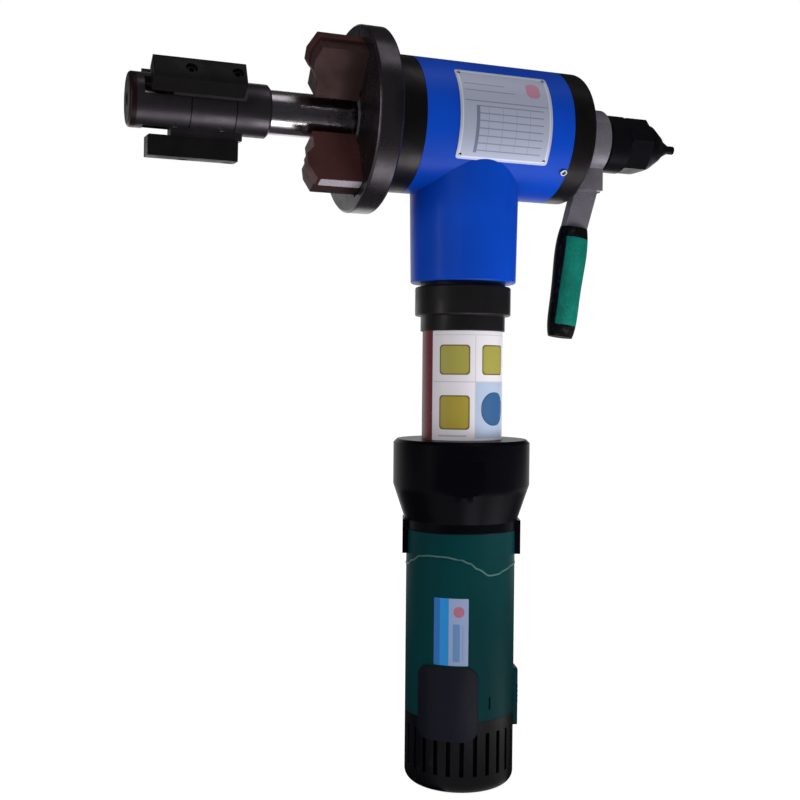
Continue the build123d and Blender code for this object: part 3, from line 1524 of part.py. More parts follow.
def armature_shaft_piece():
    outline = toothed_outline(
        sun_teeth,
        sun_radius - planet_dedendum,
        sun_radius,
        sun_radius + planet_addendum,
        planet_width_share,
        first_angle=planet_angles[0],
    )
    with BuildPart() as armature_shaft:
        with BuildSketch(across_motor(sun_bottom_z)):
            Polygon(*outline, align=None)
        extrude(amount=ring_height)
        with BuildSketch(across_motor(sun_bottom_z)):
            Circle(armature_shaft_radius)
        extrude(amount=rear_bearing_bottom_z - sun_bottom_z)
    armature_shaft.part.label = "armature_shaft"
    export_step(armature_shaft.part, "parts/armature_shaft.step")


def armature_core_piece():
    core_radius = stator_bore_radius - armature_gap
    with BuildPart() as armature_core:
        with BuildSketch(across_motor(stator_top_z)):
            Circle(core_radius)
            with PolarLocations(core_radius, armature_slots):
                Rectangle(2 * armature_slot_depth, armature_slot_width, mode=Mode.SUBTRACT)
        extrude(amount=-stator_height)
        with BuildSketch(across_motor(stator_top_z + coil_height / 2)):
            Circle(winding_radius)
        extrude(amount=-stator_height - coil_height)
        with BuildSketch(across_motor(stator_top_z + coil_height)):
            Circle(armature_shaft_radius + seat_gap)
        extrude(amount=-stator_height - 2 * coil_height, mode=Mode.SUBTRACT)
    armature_core.part.label = "armature_core"
    export_step(armature_core.part, "parts/armature_core.step")


def commutator_piece():
    with BuildPart() as commutator:
        with BuildSketch(across_motor(commutator_top_z)):
            Circle(commutator_radius)
            with PolarLocations(commutator_radius, commutator_bars):
                Rectangle(2 * bar_groove_width, bar_groove_width, mode=Mode.SUBTRACT)
            Circle(armature_shaft_radius + seat_gap, mode=Mode.SUBTRACT)
        extrude(amount=-commutator_height)
    commutator.part.label = "commutator"
    export_step(commutator.part, "parts/commutator.step")


def fan_piece():
    fan_top_z = plate_top_z - motor_bearing_height - fan_top_gap
    with BuildPart() as fan:
        with BuildSketch(across_motor(fan_top_z)):
            Circle(fan_hub_radius)
        extrude(amount=-fan_height)
        with BuildSketch(across_motor(fan_top_z - fan_height)):
            Circle(fan_radius)
        extrude(amount=fan_disc_thickness)
        with BuildSketch(across_motor(fan_top_z - fan_height)):
            with PolarLocations((fan_hub_radius + fan_radius) / 2 - small_chamfer, fan_blades):
                Rectangle(fan_radius - fan_hub_radius, fan_blade_thickness)
        extrude(amount=fan_height)
        with BuildSketch(across_motor(fan_top_z)):
            Circle(armature_shaft_radius + seat_gap)
        extrude(amount=-fan_height, mode=Mode.SUBTRACT)
    fan.part.label = "fan"
    export_step(fan.part, "parts/fan.step")


# Rear cap: a round-bottomed shell with air slots and the cord's inlet
cap_wall = 2.8
cap_rounding_radius = 7.0
cap_slots = 26
cap_ribs = 4
cap_slot_width = 3.0
cap_slot_height = 30.0
cap_slot_top_gap = 9.0
cord_bore_radius = 4.5
inlet_boss_radius = 9.0
inlet_length = 14.0
seat_wall = 2.5


def rear_cap_piece():
    inner_radius = motor_radius - cap_wall
    slot_z = shell_bottom_z - cap_slot_top_gap - cap_slot_height / 2
    seat_radius = bearing_ring_radius + seat_wall
    with BuildPart() as rear_cap:
        with BuildSketch(across_motor(shell_bottom_z)):
            Circle(motor_radius)
        extrude(amount=motor_bottom_z - shell_bottom_z)
        low_edge = rear_cap.edges().filter_by(GeomType.CIRCLE).sort_by(Axis.Z)[0]
        fillet(low_edge, radius=cap_rounding_radius)
        with BuildSketch(across_motor(shell_bottom_z)):
            Circle(inner_radius)
        extrude(amount=motor_bottom_z + cap_wall - shell_bottom_z, mode=Mode.SUBTRACT)
        with BuildSketch(across_motor(motor_bottom_z)):
            Circle(inlet_boss_radius)
        extrude(amount=inlet_length)
        rib_z = shell_bottom_z - motor_bearing_height / 2
        for rib in range(cap_ribs):
            with BuildSketch(facing_motor(motor_front_angle + rib * 360 / cap_ribs, rib_z, 0)):
                Rectangle(2 * seat_wall, motor_bearing_height)
            extrude(amount=motor_radius - small_chamfer)
        with BuildSketch(across_motor(shell_bottom_z)):
            Circle(seat_radius)
        extrude(amount=-motor_bearing_height)
        with BuildSketch(across_motor(shell_bottom_z)):
            Circle(bearing_ring_radius + seat_gap)
        extrude(amount=-motor_bearing_height, mode=Mode.SUBTRACT)
        with BuildSketch(across_motor(motor_bottom_z)):
            Circle(cord_bore_radius)
        extrude(amount=inlet_length, mode=Mode.SUBTRACT)
        for slot in range(cap_slots):
            with BuildSketch(facing_motor(slot * 360 / cap_slots, slot_z, seat_radius + seat_wall)):
                Rectangle(cap_slot_width, cap_slot_height)
            extrude(amount=motor_radius, mode=Mode.SUBTRACT)
    rear_cap.part.label = "rear_cap"
    export_step(rear_cap.part, "parts/rear_cap.step")


mandrel_head_piece()
mandrel_cap_piece()
mandrel_shaft_piece()
wedge_piece()
drawbar_piece()
draw_nut_piece()
jaw_foot_pieces()
jaw_shoe_pieces()
gear_housing_piece()
front_ring_piece()
oil_seal_piece()
rear_ring_piece()
ring_screw_pieces()
bearing_ring_pieces()
bearing_roller_pieces()
spindle_piece()
spindle_nut_piece()
crown_gear_piece()
cutter_disc_piece()
disc_screw_pieces()
tool_bit_pieces()
tool_clamp_pieces()
guide_sleeve_piece()
feed_nut_piece()
feed_retainer_piece()
ratchet_wheel_piece()
ratchet_lever_piece()
grip_pieces()
pawl_piece()
bevel_pinion_piece()
drive_bush_pieces()
drive_shaft_piece()
planet_carrier_piece()
planet_pieces()
ring_gear_piece()
neck_ring_piece()
coupling_nut_piece()
extension_tube_piece()
gearcase_piece()
motor_collar_piece()
motor_bearing_pieces()
motor_shell_piece()
switch_slider_piece()
brush_cover_pieces()
brush_pieces()
stator_piece()
armature_shaft_piece()
armature_core_piece()
commutator_piece()
fan_piece()
rear_cap_piece()
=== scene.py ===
"""The look of an internally clamped pipe beveling machine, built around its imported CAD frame."""
import logging
import math
from dataclasses import dataclass
from enum import Enum
from typing import Callable, Sequence

import bmesh
import bpy
from mathutils import Matrix, Vector


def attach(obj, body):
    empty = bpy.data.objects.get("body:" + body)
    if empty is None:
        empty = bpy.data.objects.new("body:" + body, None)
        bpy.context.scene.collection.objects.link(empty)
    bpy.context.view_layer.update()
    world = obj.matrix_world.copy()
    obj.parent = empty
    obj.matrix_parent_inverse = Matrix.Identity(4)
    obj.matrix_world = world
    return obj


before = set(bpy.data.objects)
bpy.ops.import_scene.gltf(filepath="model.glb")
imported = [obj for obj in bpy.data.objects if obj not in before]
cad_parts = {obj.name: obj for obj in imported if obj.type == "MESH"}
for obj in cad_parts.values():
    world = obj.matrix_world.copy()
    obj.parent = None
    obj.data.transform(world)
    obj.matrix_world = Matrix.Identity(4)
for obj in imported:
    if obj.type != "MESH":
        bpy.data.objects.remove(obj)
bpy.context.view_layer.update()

LOG = logging.getLogger("beveling_machine")
MM = 0.001
NECK_X = 199.0 * MM
Pair = tuple[float, float]
Pairs = tuple[Pair, ...]
Colour = tuple[float, float, float]
Point = tuple[float, float, float]
Place = Callable[[float, float, float], Vector]
Socket = bpy.types.NodeSocket
WHITE: Colour = (1.0, 1.0, 1.0)


class Lines(Enum):
    """The way that fine tool marks run on a machined surface."""

    NONE = "none"
    ROUND_SPINDLE = "round_spindle"
    ALONG_SPINDLE = "along_spindle"
    ROUND_MOTOR = "round_motor"


class Level:
    """A shader socket that holds a number, and adds Math nodes when it is used in an expression."""

    def __init__(self, tree: "Tree", socket: Socket) -> None:
        """Wraps an output socket of a node tree."""
        self.tree = tree
        self.socket = socket

    def math(self, operation: str, *others: "Level | float", flipped: bool = False) -> "Level":
        """Adds one Math node.

        Args:
            operation: The node's operation.
            others: The further operands.
            flipped: True puts this level after the other one.

        Returns:
            The node's result.
        """
        operands = [self, *others]
        if flipped:
            operands.reverse()
        made = self.tree.node("ShaderNodeMath", {"operation": operation}, dict(enumerate(operands)))
        return Level(self.tree, made.outputs[0])

    def __add__(self, other: "Level | float") -> "Level":
        """Adds a level or a number."""
        return self.math("ADD", other)

    __radd__ = __add__

    def __mul__(self, other: "Level | float") -> "Level":
        """Multiplies by a level or a number."""
        return self.math("MULTIPLY", other)

    __rmul__ = __mul__

    def __sub__(self, other: "Level | float") -> "Level":
        """Takes a level or a number away."""
        return self.math("SUBTRACT", other)

    def __rsub__(self, other: float) -> "Level":
        """Takes this level away from a number."""
        return self.math("SUBTRACT", other, flipped=True)

    def __pow__(self, other: float) -> "Level":
        """Raises to a power."""
        return self.math("POWER", other)

    def __abs__(self) -> "Level":
        """The size without the sign."""
        return self.math("ABSOLUTE")

    def least(self, other: "Level | float") -> "Level":
        """The smaller of the two."""
        return self.math("MINIMUM", other)

    def most(self, other: "Level | float") -> "Level":
        """The larger of the two."""
        return self.math("MAXIMUM", other)

    def between(self, low: float, high: float) -> "Level":
        """Rises smoothly from 0 to 1.

        Args:
            low: Where the rise starts.
            high: Where it ends. It may be under low, for a fall.

        Returns:
            A level from 0 to 1.
        """
        made = self.tree.node("ShaderNodeMapRange", {"interpolation_type": "SMOOTHSTEP"},
                              {"Value": self, "From Min": low, "From Max": high})
        return Level(self.tree, made.outputs[0])


class Tree:
    """A node tree, with the one method that adds every kind of node."""

    def __init__(self, tree: bpy.types.NodeTree) -> None:
        """Takes a tree over and empties it."""
        self.tree = tree
        tree.nodes.clear()

    def fill(self, socket: Socket, value: object) -> None:
        """Links an input or sets its value.

        Args:
            socket: The input.
            value: A level, an output socket or a plain value. A colour comes without its alpha.
        """
        if isinstance(value, Level):
            value = value.socket
        if isinstance(value, Socket):
            self.tree.links.new(value, socket)
        else:
            socket.default_value = (*value, 1.0) if socket.type == "RGBA" else value

    def node(self, kind: str, settings: dict[str, object] | None = None,
             values: dict[str | int, object] | None = None) -> bpy.types.Node:
        """Adds a node.

        Args:
            kind: The node's type.
            settings: Its properties, set first.
            values: What each input gets, by name or place.

        Returns:
            The new node.
        """
        made = self.tree.nodes.new(kind)
        for name, value in (settings or {}).items():
            setattr(made, name, value)
        for name, value in (values or {}).items():
            self.fill(made.inputs[name], value)
        return made

    def seen(self) -> Level:
        """Tells what is looked at from what gives light.

        Returns:
            1 for rays of the camera, of a reflection or through glass, and 0 for all other rays.
        """
        path = self.node("ShaderNodeLightPath")
        camera, glossy, through = (
            Level(self, path.outputs[f"Is {kind} Ray"]) for kind in ("Camera", "Glossy", "Transmission"))
        return camera.most(glossy).most(through)


class Graph(Tree):
    """The node tree of one finish, with a Principled shader at its end."""

    def __init__(self, name: str) -> None:
        """Makes a material.

        Args:
            name: The material's name.
        """
        self.material = bpy.data.materials.new(name)
        self.material.use_nodes = True
        super().__init__(self.material.node_tree)
        self.output = self.node("ShaderNodeOutputMaterial")
        self.shader = self.node("ShaderNodeBsdfPrincipled")
        self.fill(self.output.inputs[0], self.shader.outputs[0])

    def place(self) -> Socket:
        """The point on the surface, in the row frame, in metres."""
        return self.node("ShaderNodeTexCoord").outputs["Object"]

    def parts(self, vector: Socket) -> tuple[Level, ...]:
        """The three numbers of a vector."""
        split = self.node("ShaderNodeSeparateXYZ", None, {0: vector})
        return tuple(Level(self, socket) for socket in split.outputs)

    def noise(self, per_metre: float, detail: float, stretch: Point = (1.0, 1.0, 1.0)) -> Level:
        """A cloudy level from 0 to 1.

        Args:
            per_metre: How many blotches lie along a metre.
            detail: How many finer layers it has.
            stretch: How much denser it is along each axis.

        Returns:
            The level.
        """
        mapped = self.node("ShaderNodeMapping", None, {"Vector": self.place(), "Scale": stretch})
        made = self.node("ShaderNodeTexNoise", None,
                         {"Vector": mapped.outputs[0], "Scale": per_metre, "Detail": detail})
        return Level(self, made.outputs[0])

    def cells(self, per_metre: float) -> Level:
        """The distance to the nearest of many scattered points."""
        made = self.node("ShaderNodeTexVoronoi", None, {"Vector": self.place(), "Scale": per_metre})
        return Level(self, made.outputs["Distance"])

    def edges(self, radius: float) -> Level:
        """Finds the sharp edges.

        Args:
            radius: How far from an edge the level falls to 0.

        Returns:
            1 along sharp edges and 0 away from them.
        """
        rounded = self.node("ShaderNodeBevel", {"samples": 4}, {"Radius": radius})
        flat = self.node("ShaderNodeNewGeometry")
        product = self.node("ShaderNodeVectorMath", {"operation": "DOT_PRODUCT"},
                            {0: rounded.outputs[0], 1: flat.outputs["Normal"]})
        return Level(self, product.outputs["Value"]).between(0.995, 0.80)

    def mix(self, share: Level, first: Colour | Socket, second: Colour | Socket) -> Socket:
        """Mixes a share of the second colour into the first."""
        return self.node("ShaderNodeMix", {"data_type": "RGBA"}, {0: share, 6: first, 7: second}).outputs[2]

    def shades(self, share: Level, colour: Colour, dark: float, light: float) -> Socket:
        """Mixes a darker and a lighter shade of one colour."""
        return self.mix(share, darker(colour, dark), darker(colour, light))

    def bump(self, height: Level, depth: float, strength: float) -> Socket:
        """A normal bent by a height, whose level 1 stands depth metres high."""
        values = {"Height": height, "Distance": depth, "Strength": strength}
        return self.node("ShaderNodeBump", None, values).outputs[0]

    def finish(self, **values: object) -> bpy.types.Material:
        """Sets the Principled shader's own sockets.

        Args:
            values: What each socket gets, by its name in small letters with _ for a space.

        Returns:
            The material.
        """
        for name, value in values.items():
            self.fill(self.shader.inputs[name.replace("_", " ").title().replace("Ior", "IOR")], value)
        return self.material


def darker(colour: Colour, share: float) -> Colour:
    """A colour scaled towards black, or past itself where share is over 1."""
    return tuple(part * share for part in colour)


def faded(colour: Colour, share: float, lift: float) -> Colour:
    """A colour scaled by a share and lifted by a grey."""
    return tuple(part * share + lift for part in colour)


@dataclass(frozen=True)
class Enamel:
    """Sprayed enamel on a casting: a glossy coat with a slight orange peel and rubbed edges."""

    name: str
    colour: Colour
    roughness: float = 0.32
    coat: float = 0.5
    peel: float = 0.00006
    rub: float = 0.35
    specular: float = 0.3
    rub_width: float = 0.0009
    coat_roughness: float = 0.18

    def make(self) -> bpy.types.Material:
        """Builds the material.

        Returns:
            The material.
        """
        graph = Graph(self.name)
        cloud = graph.noise(18.0, 4.0)
        peel = graph.noise(420.0, 2.0) + graph.noise(110.0, 2.0) * 0.8
        rubbed = graph.edges(self.rub_width) * graph.noise(160.0, 4.0).between(0.42, 0.62) * self.rub
        base = graph.shades(cloud.between(0.25, 0.75), self.colour, 0.86, 1.1)
        base = graph.mix(rubbed, base, faded(self.colour, 0.6, 0.05))
        return graph.finish(
            base_color=base, roughness=cloud * 0.12 + self.roughness - 0.06 + rubbed * 0.2,
            coat_weight=self.coat, coat_roughness=self.coat_roughness,
            specular_ior_level=self.specular, normal=graph.bump(peel, self.peel, 0.5))


@dataclass(frozen=True)
class Steel:
    """Machined steel: fine tool marks, a film of oil in patches and brighter edges."""

    name: str
    colour: Colour
    stain: Colour
    roughness: float = 0.35
    metallic: float = 1.0
    lines: Lines = Lines.NONE
    line_depth: float = 0.00003
    bright_edge: float = 0.5
    edge_colour: Colour = (0.55, 0.53, 0.52)
    specular: float = 0.5
    edge_width: float = 0.0007
    lines_per_metre: float = 2600.0

    def marks(self, graph: Graph) -> Level:
        """Lays the tool marks.

        Args:
            graph: The node tree.

        Returns:
            Their height, from 0 to 1.
        """
        x, y, z = graph.parts(graph.place())
        if self.lines is Lines.ROUND_SPINDLE:
            radius = (y * y + z * z) ** 0.5
            wander = graph.noise(30.0, 1.0) * 0.0002
            return self._turned(graph, x + radius * 0.7 + wander)
        if self.lines is Lines.ROUND_MOTOR:
            return self._turned(graph, z)
        if self.lines is Lines.ALONG_SPINDLE:
            return graph.noise(900.0, 2.0, (0.03, 1.0, 1.0))
        return graph.noise(1400.0, 3.0)

    def _turned(self, graph: Graph, along: Level) -> Level:
        """Lays the marks of a lathe.

        Args:
            graph: The node tree.
            along: The one level that they change along.

        Returns:
            Their height, from 0 to 1.
        """
        joined = graph.node("ShaderNodeCombineXYZ", None, {0: along})
        made = graph.node("ShaderNodeTexNoise", None,
                          {"Vector": joined.outputs[0], "Scale": self.lines_per_metre, "Detail": 2.0})
        return Level(graph, made.outputs[0])

    def make(self) -> bpy.types.Material:
        """Builds the material.

        Returns:
            The material.
        """
        graph = Graph(self.name)
        marks = self.marks(graph)
        patches = graph.noise(38.0, 5.0).between(0.35, 0.68)
        small = graph.noise(240.0, 4.0)
        rubbed = graph.edges(self.edge_width) * small.between(0.3, 0.6) * self.bright_edge
        base = graph.mix(patches, self.colour, self.stain)
        base = graph.mix((marks - 0.5) * 0.5 + 0.25, base, darker(self.colour, 0.7))
        base = graph.mix(rubbed, base, self.edge_colour)
        rough = patches * 0.14 + small * 0.12 + self.roughness - 0.12 - rubbed * 0.1
        return graph.finish(
            base_color=base, roughness=rough.most(0.05), metallic=self.metallic,
            specular_ior_level=self.specular, normal=graph.bump(marks, self.line_depth, 0.7))


@dataclass(frozen=True)
class Plastic:
    """Moulded plastic: a fine sparked grain, faint flow streaks and handled patches."""

    name: str
    colour: Colour
    roughness: float = 0.42
    grain: float = 0.00004
    grain_per_metre: float = 1500.0
    dust: float = 0.03
    specular: float = 0.25
    dust_colour: Colour = (0.12, 0.12, 0.12)
    edge_width: float = 0.0006

    def make(self) -> bpy.types.Material:
        """Builds the material.

        Returns:
            The material.
        """
        graph = Graph(self.name)
        flow = graph.noise(26.0, 4.0, (1.0, 1.0, 0.35))
        handled = graph.noise(14.0, 3.0).between(0.42, 0.66)
        dust = graph.noise(320.0, 5.0).between(0.56, 0.74) * self.dust
        base = graph.shades(flow.between(0.3, 0.7), self.colour, 0.86, 1.14)
        base = graph.mix(dust, base, self.dust_colour)
        base = graph.mix(graph.edges(self.edge_width) * 0.3, base, faded(self.colour, 1.5, 0.006))
        return graph.finish(
            base_color=base, roughness=flow * 0.1 - handled * 0.1 + self.roughness,
            specular_ior_level=self.specular,
            normal=graph.bump(graph.noise(self.grain_per_metre, 3.0), self.grain, 0.7))


@dataclass(frozen=True)
class Rubber:
    """Soft rubber of a grip: small dimples, a dull bloom, and painted shade that darkens the hollows."""

    name: str
    colour: Colour
    dimple_per_metre: float = 520.0
    depth: float = 0.00012
    roughness: float = 0.55
    specular: float = 0.25
    bloom_colour: Colour = (0.3, 0.32, 0.31)

    def make(self) -> bpy.types.Material:
        """Builds the material.

        Returns:
            The material.
        """
        graph = Graph(self.name)
        dimple = graph.cells(self.dimple_per_metre).between(0.1, 0.55)
        cloud = graph.noise(60.0, 4.0)
        bloom = graph.noise(300.0, 4.0).between(0.5, 0.8) * 0.05
        base = graph.shades(cloud.between(0.3, 0.7), self.colour, 0.82, 1.15)
        # Painted shade: the hollows of the dimples are darkened.
        base = graph.mix((1.0 - dimple) * 0.35, base, darker(self.colour, 0.5))
        base = graph.mix(bloom, base, self.bloom_colour)
        return graph.finish(
            base_color=base, roughness=cloud * 0.15 + self.roughness - 0.08, specular_ior_level=self.specular,
            normal=graph.bump(dimple + graph.noise(2400.0, 2.0) * 0.15, self.depth, 0.6))


@dataclass(frozen=True)
class Field:
    """A filled shape with round corners on a printed label, in shares of the label's width and height."""

    left: float
    low: float
    right: float
    high: float
    colour: Colour
    corner_mm: float = 0.4
    rim_mm: float = 0.0


@dataclass(frozen=True)
class Print:
    """A printed label: plain fields on a ground, under a clear film. It reads the patch's own map."""

    name: str
    ground: Colour
    width_mm: float
    height_mm: float
    fields: tuple[Field, ...]
    roughness: float = 0.34
    metallic: float = 0.0
    soft_mm: float = 0.15
    rim_shade: float = 0.35
    specular: float = 0.25

    def inside(self, across: Level, up: Level, shape: Field, inset_mm: float) -> Level:
        """How much a point lies inside a field.

        Args:
            across: The point's place across the label, in millimetres.
            up: The point's place up the label, in millimetres.
            shape: The field.
            inset_mm: How far the field's edge is drawn in.

        Returns:
            1 inside, 0 outside, with a narrow soft edge.
        """
        half_width = (shape.right - shape.left) * self.width_mm / 2 - inset_mm
        half_height = (shape.high - shape.low) * self.height_mm / 2 - inset_mm
        corner = min(shape.corner_mm, half_width, half_height)
        side = abs(across - (shape.left + shape.right) * self.width_mm / 2) - (half_width - corner)
        rise = abs(up - (shape.low + shape.high) * self.height_mm / 2) - (half_height - corner)
        outside = (side.most(0.0) ** 2.0 + rise.most(0.0) ** 2.0) ** 0.5
        distance = outside + side.most(rise).least(0.0) - corner
        return distance.between(self.soft_mm, -self.soft_mm)

    def make(self) -> bpy.types.Material:
        """Builds the material.

        Returns:
            The material.
        """
        graph = Graph(self.name)
        u, v, _ = graph.parts(graph.node("ShaderNodeTexCoord").outputs["UV"])
        across, up = u * self.width_mm, v * self.height_mm
        worn = graph.noise(500.0, 4.0)
        inked = 1.0 - worn.between(0.62, 0.8) * 0.35
        base = graph.mix(graph.noise(70.0, 3.0) * 0.16, self.ground, darker(self.ground, 0.75))
        for shape in self.fields:
            if shape.rim_mm > 0.0:
                rim = self.inside(across, up, shape, 0.0)
                base = graph.mix(rim, base, darker(shape.colour, self.rim_shade))
            base = graph.mix(self.inside(across, up, shape, shape.rim_mm) * inked, base, shape.colour)
        return graph.finish(
            base_color=base, roughness=worn * 0.16 + self.roughness - 0.08, metallic=self.metallic,
            specular_ior_level=self.specular, normal=graph.bump(worn, 0.00002, 0.5))


Finish = Enamel | Steel | Plastic | Rubber | Print
Dressing = tuple[tuple[str, Finish, float], ...]


class Wardrobe:
    """Gives each finish its material once, and dresses objects in it."""

    def __init__(self) -> None:
        """Starts with no materials."""
        self.made: dict[str, bpy.types.Material] = {}

    def dress(self, piece: bpy.types.Object, finish: Finish) -> None:
        """Puts one finish on the whole of an object.

        Args:
            piece: The object.
            finish: Its finish.
        """
        if finish.name not in self.made:
            self.made[finish.name] = finish.make()
        piece.data.materials.clear()
        piece.data.materials.append(self.made[finish.name])
        for face in piece.data.polygons:
            face.material_index = 0


BLUE = Enamel("blue_enamel", (0.0003, 0.039, 0.34), roughness=0.36, coat=0.02, specular=0.11)
BLACK_PAINT = Enamel("black_enamel", (0.0014, 0.0012, 0.0024), 0.34, coat=0.0, rub=0.08, specular=0.04)
TUBE_PAINT = Enamel("tube_enamel", (0.004, 0.003, 0.0035), 0.4, coat=0.02, rub=0.1, specular=0.12)
HEAD_STEEL = Steel(
    "blued_steel", (0.105, 0.094, 0.108), (0.066, 0.057, 0.066), 0.35, 0.9, Lines.ROUND_SPINDLE,
    edge_colour=(0.2, 0.19, 0.2))
END_STEEL = Steel(
    "end_cap_steel", (0.036, 0.02, 0.02), (0.022, 0.013, 0.013), 0.4, 0.8, Lines.ROUND_SPINDLE,
    bright_edge=0.25, edge_colour=(0.14, 0.1, 0.1))
SHOE_STEEL = Steel(
    "jaw_steel", (0.02, 0.018, 0.019), (0.011, 0.0095, 0.01), 0.42, 0.7,
    bright_edge=0.2, edge_colour=(0.07, 0.065, 0.065))
DISC_STEEL = Steel(
    "disc_steel", (0.09, 0.08, 0.092), (0.045, 0.039, 0.044), 0.28, 0.9, Lines.ROUND_SPINDLE,
    bright_edge=0.2, edge_colour=(0.14, 0.12, 0.12), specular=0.2)
BIT_STEEL = Steel(
    "bit_steel", (0.068, 0.026, 0.0245), (0.046, 0.018, 0.0175), 0.34, 0.35,
    bright_edge=0.2, edge_colour=(0.14, 0.09, 0.085), specular=0.1)
CLAMP_STEEL = Steel(
    "clamp_steel", (0.052, 0.028, 0.027), (0.034, 0.0185, 0.018), 0.34, 0.4,
    bright_edge=0.2, edge_colour=(0.14, 0.11, 0.11), specular=0.12)
# Pale lavender steel for a painted highlight: the strip on the lower bit's outer edge stands in for a
# reflection.
HIGHLIGHT_STRIP_STEEL = Steel(
    "painted_highlight_steel", (0.52, 0.46, 0.54), (0.42, 0.36, 0.44), 0.32, 0.3, Lines.ALONG_SPINDLE, 0.000012)
GROUND_STEEL = Steel("ground_steel", (0.62, 0.58, 0.6), (0.5, 0.46, 0.48), 0.24, 1.0, Lines.ALONG_SPINDLE)
CHROME = Steel(
    "chrome_shaft", (0.66, 0.62, 0.65), (0.56, 0.53, 0.56), 0.24, 1.0, Lines.ALONG_SPINDLE, 0.000008, 0.2)
RING_STEEL = Steel(
    "black_oxide", (0.03, 0.027, 0.029), (0.017, 0.015, 0.016), 0.36, 0.85, Lines.ROUND_SPINDLE,
    bright_edge=0.15, edge_colour=(0.06, 0.058, 0.06))
NUT_STEEL = Steel(
    "nut_oxide", (0.0085, 0.0085, 0.0115), (0.005, 0.005, 0.007), 0.36, 0.6, Lines.ROUND_SPINDLE,
    bright_edge=0.25, edge_colour=(0.08, 0.08, 0.09), specular=0.12)
LEVER_STEEL = Steel(
    "lever_steel", (0.225, 0.21, 0.25), (0.155, 0.145, 0.172), 0.32, 0.55, Lines.NONE, 0.000012, 0.4,
    edge_colour=(0.5, 0.49, 0.52))
INNER_STEEL = Steel("inner_steel", (0.42, 0.41, 0.42), (0.3, 0.28, 0.27), 0.34, 0.85)
SCREW_STEEL = Steel("screw_steel", (0.1, 0.095, 0.1), (0.05, 0.047, 0.05), 0.34, 0.9, bright_edge=0.3)
BRIGHT_SCREW = Steel("bright_screw", (0.62, 0.62, 0.66), (0.5, 0.5, 0.53), 0.26)
BRONZE = Steel("bush_bronze", (0.5, 0.33, 0.15), (0.38, 0.22, 0.09), 0.34)
COUPLING_STEEL = Steel(
    "coupling_oxide", (0.024, 0.022, 0.024), (0.014, 0.0125, 0.014), 0.4, 0.7, Lines.ROUND_MOTOR,
    bright_edge=0.15, edge_colour=(0.06, 0.06, 0.065))
COPPER = Steel("copper_bars", (0.6, 0.3, 0.18), (0.45, 0.2, 0.12), 0.3)
CARBON = Plastic("brush_carbon", (0.02, 0.02, 0.02), 0.6)
GREEN_SHELL = Plastic("green_shell", (0.0009, 0.0265, 0.0295), 0.38, 0.00003, dust=0.012, specular=0.03)
BLACK_SHELL = Plastic("black_shell", (0.0018, 0.0017, 0.0028), 0.42, 0.00005, 1300.0, specular=0.1)
COVER_PLASTIC = Plastic("cover_plastic", (0.0042, 0.0042, 0.0095), 0.4, 0.00005, 1300.0, 0.015, 0.08)
# Near-black, dull plastic for painted shade: the sleeve behind the cap's air slots stands in for the shaded
# inside.
PAINTED_SHADE_BLACK = Plastic("cap_inside_painted_shade", (0.0015, 0.0015, 0.0018), 0.6, dust=0.0, specular=0.05)
# A pale green for the seam ridge: a painted highlight along the collar's edge, on a real raised edge.
SEAM_HIGHLIGHT_GREEN = Plastic("seam_painted_highlight", (0.04, 0.1, 0.095), 0.3)
GRIP_GREEN = Rubber("grip_green", (0.0004, 0.105, 0.078), specular=0.1)
GRIP_BLACK = Rubber("grip_black", (0.002, 0.002, 0.003), specular=0.12)
SEAL_RUBBER = Rubber("seal_rubber", (0.004, 0.004, 0.004))

RULE = (0.2, 0.215, 0.29)
LABEL_LINE = (0.36, 0.37, 0.37)
OLIVE = (0.24, 0.22, 0.045)
OCHRE = (0.25, 0.2, 0.028)


def rule(left: float, low: float, right: float, high: float, colour: Colour = RULE) -> Field:
    """A printed line, with all but square corners."""
    return Field(left, low, right, high, colour, 0.1)


PLATE = Print(
    "body_plate", (0.4, 0.425, 0.53), 71.0, 67.0,
    (
        Field(0.022, 0.02, 0.978, 0.98, (0.52, 0.545, 0.65), 1.5),
        Field(0.035, 0.035, 0.965, 0.965, (0.345, 0.37, 0.475), 1.2),
        Field(0.17, 0.08, 0.205, 0.56, (0.16, 0.175, 0.26), 0.2),
        rule(0.05, 0.6, 0.95, 0.612),
        *(rule(0.2, 0.1 + row * 0.075, 0.9, 0.112 + row * 0.075) for row in range(7)),
        *(rule(left, 0.1, left + 0.004, 0.56) for left in (0.3, 0.45, 0.6, 0.75)),
        Field(0.735, 0.7, 0.885, 0.88, (0.42, 0.2, 0.28), 4.0),
        rule(0.06, 0.72, 0.6, 0.73),
        rule(0.06, 0.8, 0.5, 0.81),
    ),
    roughness=0.4, metallic=0.35,
)
TUBE_LABEL = Print(
    "tube_label", (0.52, 0.49, 0.53), 84.0, 78.3,
    (
        rule(0.0, 0.0, 0.18, 1.0, (0.1, 0.016, 0.024)),
        Field(0.575, 0.02, 0.985, 0.532, (0.28, 0.34, 0.45), 0.3),
        rule(0.19, 0.53, 0.985, 0.54, LABEL_LINE),
        rule(0.57, 0.02, 0.577, 0.96, LABEL_LINE),
        rule(0.19, 0.958, 0.985, 0.965, LABEL_LINE),
        Field(0.259, 0.598, 0.527, 0.872, OLIVE, 2.6, 0.9),
        Field(0.635, 0.598, 0.9, 0.872, OLIVE, 2.6, 0.9),
        Field(0.259, 0.1, 0.527, 0.4125, OCHRE, 2.6, 0.9),
        Field(0.63, 0.135, 0.915, 0.44, (0.02, 0.075, 0.185), 11.0, 0.5),
        rule(0.25, 0.035, 0.5, 0.05, (0.3, 0.31, 0.32)),
    ),
)
